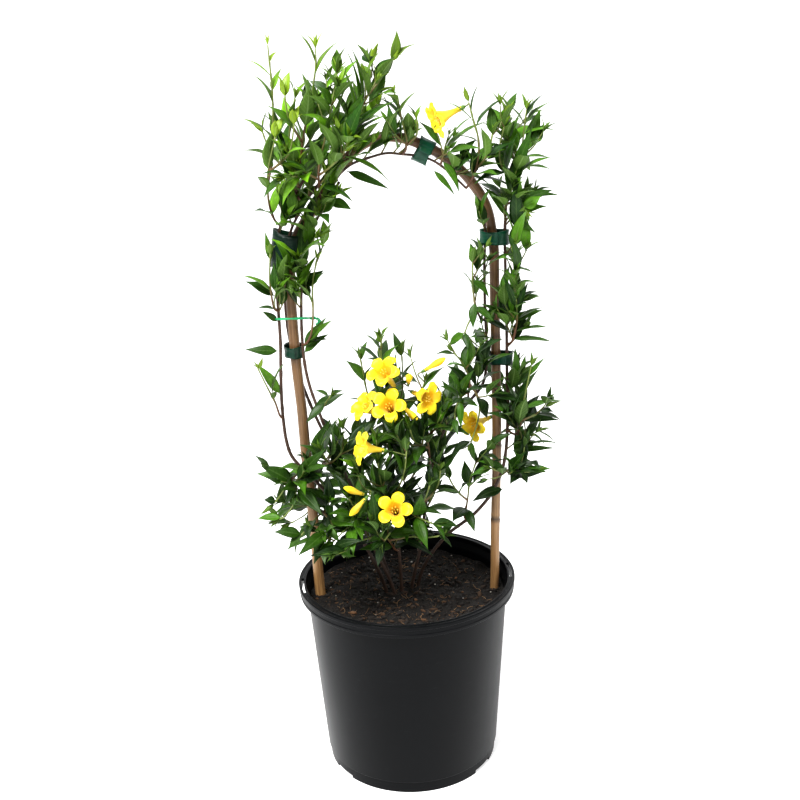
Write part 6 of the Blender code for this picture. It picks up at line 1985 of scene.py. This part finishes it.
def colour_property(name, description, value):
    return FloatVectorProperty(name=name, description=description, default=value, size=3, min=0.0, max=1.0,
                               subtype="COLOR")


class PotSettings(bpy.types.PropertyGroup):
    """The pot's fineness and colour."""

    sides: IntProperty(name="Sides", description="Flats round the turned pot", default=144, min=32,
                       max=360)
    plastic_colour: colour_property("Plastic", "Colour of the moulded plastic", (0.0022, 0.0026, 0.0032))


class SoilSettings(bpy.types.PropertyGroup):
    """What lies on the soil and its colours."""

    crumb_count: IntProperty(name="Crumbs", description="Pieces of bark strewn over the soil",
                             default=2400, min=0, max=4000)
    crumb_size: FloatProperty(name="Crumb size", description="Half length of a middling piece of bark",
                              default=0.0019, min=0.0005, max=0.01, unit="LENGTH")
    soil_colour: colour_property("Soil", "Colour of the damp mix", (0.0085, 0.0065, 0.005))
    bark_dark: colour_property("Dark bark", "Darkest bark crumbs", (0.010, 0.0075, 0.006))
    bark_pale: colour_property("Pale bark", "Freshest bark crumbs", (0.20, 0.105, 0.05))


class CaneSettings(bpy.types.PropertyGroup):
    """The hoop's rings and colours."""

    swell: FloatProperty(name="Ring swell", description="How far a ring stands out, in radii",
                         default=0.11, min=0.0, max=0.3)
    left_tone: colour_property("Left leg", "Colour of the hoop's left leg", (0.46, 0.27, 0.115))
    arch_tone: colour_property("Arch", "Colour of the hoop's arch", (0.19, 0.105, 0.047))
    right_tone: colour_property("Right leg", "Colour of the hoop's right leg", (0.42, 0.25, 0.11))


class StemSettings(bpy.types.PropertyGroup):
    """The bark's colours."""

    old_bark: colour_property("Old bark", "Colour of a stem near the soil", (0.055, 0.030, 0.019))
    young_bark: colour_property("Young bark", "Colour of a stem near its tip", (0.085, 0.040, 0.024))


class TieSettings(bpy.types.PropertyGroup):
    """The colours of the ties."""

    tape_colour: colour_property("Tape", "Colour of the tie tape", (0.002, 0.048, 0.024))
    wire_colour: colour_property("Wire", "Colour of the twist wire's coat", (0.01, 0.36, 0.13))


class LeafSettings(bpy.types.PropertyGroup):
    """The leaves' colours."""

    sprigs: FloatProperty(name="Side sprigs", description="Chance of a side sprig at each side of a joint",
                          default=0.65, min=0.0, max=1.0, subtype="FACTOR")
    leaf_dark: colour_property("Old leaf", "Darkest upper sides", (0.010, 0.045, 0.003))
    leaf_full: colour_property("Full leaf", "Palest upper sides of grown leaves", (0.090, 0.210, 0.008))
    leaf_new: colour_property("New leaf", "Newest leaves", (0.24, 0.36, 0.02))
    leaf_bronze: colour_property("Bronze tip", "Tips of the newest leaves", (0.22, 0.13, 0.045))
    leaf_back: colour_property("Under side", "Under side of the leaves", (0.10, 0.19, 0.03))
    twig_old: colour_property("Old twig", "Twigs at their foot", (0.13, 0.06, 0.028))
    twig_new: colour_property("New twig", "Twigs at their tip", (0.16, 0.21, 0.05))


class FlowerSettings(bpy.types.PropertyGroup):
    """The flowers' colours."""

    petal_edge: colour_property("Lobes", "Colour of the open lobes", (0.95, 0.73, 0.010))
    petal_throat: colour_property("Throat", "Colour inside the throat", (0.95, 0.58, 0.008))
    petal_tube: colour_property("Tube", "Colour of the tube's foot", (0.85, 0.60, 0.03))
    calyx_colour: colour_property("Calyx", "Colour of the small green cup", (0.10, 0.20, 0.03))
    anther_colour: colour_property("Anthers", "Colour of the anthers", (0.85, 0.62, 0.10))


class StageSettings(bpy.types.PropertyGroup):
    """The paper sweep and the lamps."""

    paper_colour: colour_property("Paper", "Colour of the floor and backdrop", (0.93, 0.93, 0.93))
    # The paper glows though it is no lamp: its own light keeps it evenly white, fades the shadows on it and
    # lights the plant
    paper_glow: FloatProperty(name="Paper glow", description="Light that comes through the paper",
                              default=0.4, min=0.0, max=2.0)
    key_power: FloatProperty(name="Key lamp", description="Large lamp above and to the left", default=70.0,
                             min=0.0, max=500.0, subtype="POWER", unit="POWER")
    fill_power: FloatProperty(name="Fill lamp", description="Soft lamp on the right", default=9.0, min=0.0,
                              max=500.0, subtype="POWER", unit="POWER")
    sky_strength: FloatProperty(name="Sky", description="Strength of the even light from all round",
                                default=0.42, min=0.0, max=5.0)


class JESSAMINE_OT_pot(bpy.types.Operator):
    """Turn the pot with its rolled rim, and cut its hanger slots and foot"""

    bl_idname = "jessamine.pot"
    bl_label = "Pot"

    def execute(self, context):
        settings = context.scene.jessamine_pot
        mesh = pot_mesh(settings.sides)
        pot = piece("nursery_pot", mesh, ["pot"])
        carve(pot, pot_cutters())
        pot.data.materials.clear()
        pot.data.materials.append(pot_finish(settings))
        for polygon in pot.data.polygons:
            polygon.use_smooth = True
        pot.data.set_sharp_from_angle(angle=math.radians(42))
        return {"FINISHED"}


class JESSAMINE_OT_soil(bpy.types.Operator):
    """Fill the pot with crumbled soil and strew bark, fibres and white grains on it"""

    bl_idname = "jessamine.soil"
    bl_label = "Soil"

    def execute(self, context):
        settings = context.scene.jessamine_soil
        skin = Skin()
        draw_soil(skin)
        draw_crumbs(skin, settings)
        dark, pale = Vector(settings.bark_dark), Vector(settings.bark_pale)
        bark = crumb_finish("soil_bark", ((0.0, dark), (0.45, dark * 2.2), (0.7, pale * 0.5), (1.0, pale)))
        fibre = crumb_finish("soil_fibre", ((0.0, (0.16, 0.09, 0.045)), (1.0, (0.34, 0.21, 0.11))))
        grain = crumb_finish("soil_grain", ((0.0, (0.5, 0.47, 0.42)), (1.0, (0.75, 0.74, 0.7))))
        mesh = skin.mesh("soil_top", [soil_finish(settings), bark, fibre, grain])
        piece("soil_top", mesh, ["soil"])
        return {"FINISHED"}


class JESSAMINE_OT_hoop(bpy.types.Operator):
    """Draw the bent cane with its rings and grain"""

    bl_idname = "jessamine.hoop"
    bl_label = "Hoop"

    def execute(self, context):
        settings = context.scene.jessamine_cane
        skin = Skin()
        draw_cane(skin, settings.swell)
        finish = wood_finish("cane_wood", cane_tones(settings), (1.6, 1.6, 9.0), 0.38)
        piece("cane_hoop", skin.mesh("cane_hoop", [finish]), ["hoop"])
        return {"FINISHED"}


class JESSAMINE_OT_stems(bpy.types.Operator):
    """Draw the woody stems that climb the hoop"""

    bl_idname = "jessamine.stems"
    bl_label = "Stems"

    def execute(self, context):
        settings = context.scene.jessamine_stem
        skin = Skin()
        for name, (route, radii) in PLANT[1].items():
            draw_stem(skin, name, route, radii)
        old, young = Vector(settings.old_bark), Vector(settings.young_bark)
        stops = ((0.0, old), (0.4, old * 1.2), (1.0, young))
        finish = wood_finish("bark_brown", stops, (2.2, 2.2, 40.0), 0.6)
        piece("climbing_stems", skin.mesh("climbing_stems", [finish]), list(PLANT[1]))
        return {"FINISHED"}


class JESSAMINE_OT_ties(bpy.types.Operator):
    """Wind the tape ties and the twist wire round the hoop and its stems"""

    bl_idname = "jessamine.ties"
    bl_label = "Ties"

    def execute(self, context):
        settings = context.scene.jessamine_tie
        skin = Skin()
        for name in BANDS:
            draw_tape(skin, name)
        piece("tie_tapes", skin.mesh("tie_tapes", [tape_finish(settings)]), list(BANDS))
        skin = Skin()
        draw_wire(skin)
        piece("twist_wire", skin.mesh("twist_wire", [wire_finish(settings)]), ["tie_wire"])
        return {"FINISHED"}


class JESSAMINE_OT_leaves(bpy.types.Operator):
    """Draw every spray of leaves with its twigs"""

    bl_idname = "jessamine.leaves"
    bl_label = "Leaves"

    def execute(self, context):
        settings = context.scene.jessamine_leaf
        old, new = Vector(settings.twig_old), Vector(settings.twig_new)
        twig = wood_finish("twig_skin", ((0.0, old), (0.45, old * 1.2), (0.75, new), (1.0, new * 1.3)),
                           (2.0, 2.0, 60.0), 0.5, 0.2)
        finishes = [leaf_face(settings), leaf_back(settings), twig]
        keep_sight(PLANT[0])
        for name, shoots in SPRAYS.items():
            piece(name, draw_leaves(name, settings).mesh(name, finishes), shoots)
        return {"FINISHED"}


class JESSAMINE_OT_flowers(bpy.types.Operator):
    """Draw the open flowers and the closed buds"""

    bl_idname = "jessamine.flowers"
    bl_label = "Flowers"

    def execute(self, context):
        settings = context.scene.jessamine_flower
        skin = Skin()
        for name, (_, base, head) in BLOOMS.items():
            draw_bloom(skin, random.Random(name), seen(base), seen(head))
        for name, (_, base, head) in BUDS.items():
            draw_bud(skin, random.Random(name), seen(base), seen(head))
        anther = Vector(settings.anther_colour)
        finishes = [petal_finish(settings), plain_green("calyx_green", settings.calyx_colour, 0.45),
                    plain_green("filament", anther * 0.9, 0.5), plain_green("anther", anther, 0.7)]
        piece("flowers", skin.mesh("flowers", finishes), [*BLOOMS, *BUDS])
        return {"FINISHED"}


# The paper runs flat to the first of these and turns up with the second as its radius, in metres
SWEEP_START = 1.6
SWEEP_BEND = 1.2
# Each lamp's name, place, what it points at, and width
LAMPS = (
    ("key_lamp", (-0.7, -1.0, 2.0), (0, 0, 0.35), 0.9),
    ("fill_lamp", (1.5, -0.9, 0.9), (0, 0, 0.3), 1.2),
)
# The camera's place in metres, and how far it is tilted up from straight down and rolled, in degrees
CAMERA_PLACE = (0.0, -0.9342, 0.6485)
CAMERA_TILT = 72.28
CAMERA_ROLL = -2.17


class JESSAMINE_OT_stage(bpy.types.Operator):
    """Set the paper sweep, the lamps and the camera"""

    bl_idname = "jessamine.stage"
    bl_label = "Stage"

    def execute(self, context):
        settings = context.scene.jessamine_stage
        scene = context.scene
        # The paper's emission is painted light that whitens it and fades its shadows
        paper = Finish("paper", 0.9, Emission_Color=(1, 1, 1, 1), Emission_Strength=settings.paper_glow)
        white = settings.paper_colour
        paper.finish(paper.mix(paper.noise(paper.spots(), 60.0, 2.0), Vector(white) * 0.995, white))
        sweep = [(-4.0, 0.0), (SWEEP_START, 0.0)]
        sweep += [(SWEEP_START + SWEEP_BEND * math.sin(a), SWEEP_BEND - SWEEP_BEND * math.cos(a)) for a in
                  (math.pi / 2 * k / 16 for k in range(1, 17))]
        sweep += [(SWEEP_START + SWEEP_BEND, 5.0)]
        mesh = bpy.data.meshes.new("paper_sweep")
        points = [(x, y, z) for y, z in sweep for x in (-6.0, 6.0)]
        quads = [(2 * k, 2 * k + 1, 2 * k + 3, 2 * k + 2) for k in range(len(sweep) - 1)]
        mesh.from_pydata(points, [], quads)
        mesh.polygons.foreach_set("use_smooth", [True] * len(mesh.polygons))
        mesh.materials.append(paper.made)
        floor = bpy.data.objects.new("paper_sweep", mesh)
        scene.collection.objects.link(floor)
        powers = (settings.key_power, settings.fill_power)
        for (name, place, aim, size), power in zip(LAMPS, powers):
            lamp = bpy.data.objects.new(name, bpy.data.lights.new(name, "AREA"))
            lamp.data.size = size
            lamp.data.energy = power
            lamp.location = place
            lamp.rotation_euler = (Vector(aim) - Vector(place)).to_track_quat("-Z", "Y").to_euler()
            scene.collection.objects.link(lamp)
        world = bpy.data.worlds.new("white_room")
        world.use_nodes = True
        sky = world.node_tree.nodes["Background"]
        sky.inputs["Color"].default_value = (1, 1, 1, 1)
        sky.inputs["Strength"].default_value = settings.sky_strength
        scene.world = world
        camera = bpy.data.objects.new("front_camera", bpy.data.cameras.new("front_camera"))
        camera.data.lens = 50.0
        camera.data.sensor_width = 36.0
        camera.location = CAMERA_PLACE
        tilt = Matrix.Rotation(math.radians(CAMERA_TILT), 4, "X")
        roll = Matrix.Rotation(math.radians(CAMERA_ROLL), 4, "Z")
        camera.rotation_euler = (tilt @ roll).to_euler()
        scene.collection.objects.link(camera)
        scene.camera = camera
        scene.view_settings.view_transform = "Standard"
        scene.view_settings.look = "Medium High Contrast"
        return {"FINISHED"}


class JESSAMINE_PT_panel(bpy.types.Panel):
    """Lists the settings and the steps that dress the model"""

    bl_idname = "JESSAMINE_PT_panel"
    bl_label = "Potted Jessamine"
    bl_space_type = "VIEW_3D"
    bl_region_type = "UI"
    bl_category = "Jessamine"

    def draw(self, context):
        for label, prop, operator, group in STEPS:
            box = self.layout.box()
            box.label(text=label)
            settings = getattr(context.scene, prop)
            for key in group.__annotations__:
                box.prop(settings, key)
            box.operator(operator)


STEPS = (
    ("Pot", "jessamine_pot", "jessamine.pot", PotSettings),
    ("Soil", "jessamine_soil", "jessamine.soil", SoilSettings),
    ("Hoop", "jessamine_cane", "jessamine.hoop", CaneSettings),
    ("Stems", "jessamine_stem", "jessamine.stems", StemSettings),
    ("Ties", "jessamine_tie", "jessamine.ties", TieSettings),
    ("Leaves", "jessamine_leaf", "jessamine.leaves", LeafSettings),
    ("Flowers", "jessamine_flower", "jessamine.flowers", FlowerSettings),
    ("Stage", "jessamine_stage", "jessamine.stage", StageSettings),
)
CLASSES = (
    PotSettings, SoilSettings, CaneSettings, StemSettings, TieSettings, LeafSettings, FlowerSettings,
    StageSettings, JESSAMINE_OT_pot, JESSAMINE_OT_soil, JESSAMINE_OT_hoop, JESSAMINE_OT_stems,
    JESSAMINE_OT_ties, JESSAMINE_OT_leaves, JESSAMINE_OT_flowers, JESSAMINE_OT_stage, JESSAMINE_PT_panel,
)


def register():
    for made in CLASSES:
        bpy.utils.register_class(made)
    for _, prop, _, group in STEPS:
        setattr(bpy.types.Scene, prop, PointerProperty(type=group))


def unregister():
    for _, prop, _, _ in STEPS:
        delattr(bpy.types.Scene, prop)
    for made in reversed(CLASSES):
        bpy.utils.unregister_class(made)


def main():
    register()
    bpy.ops.jessamine.pot()
    bpy.ops.jessamine.soil()
    bpy.ops.jessamine.hoop()
    bpy.ops.jessamine.stems()
    bpy.ops.jessamine.ties()
    bpy.ops.jessamine.leaves()
    bpy.ops.jessamine.flowers()
    bpy.ops.jessamine.stage()


if __name__ == "__main__":
    main()
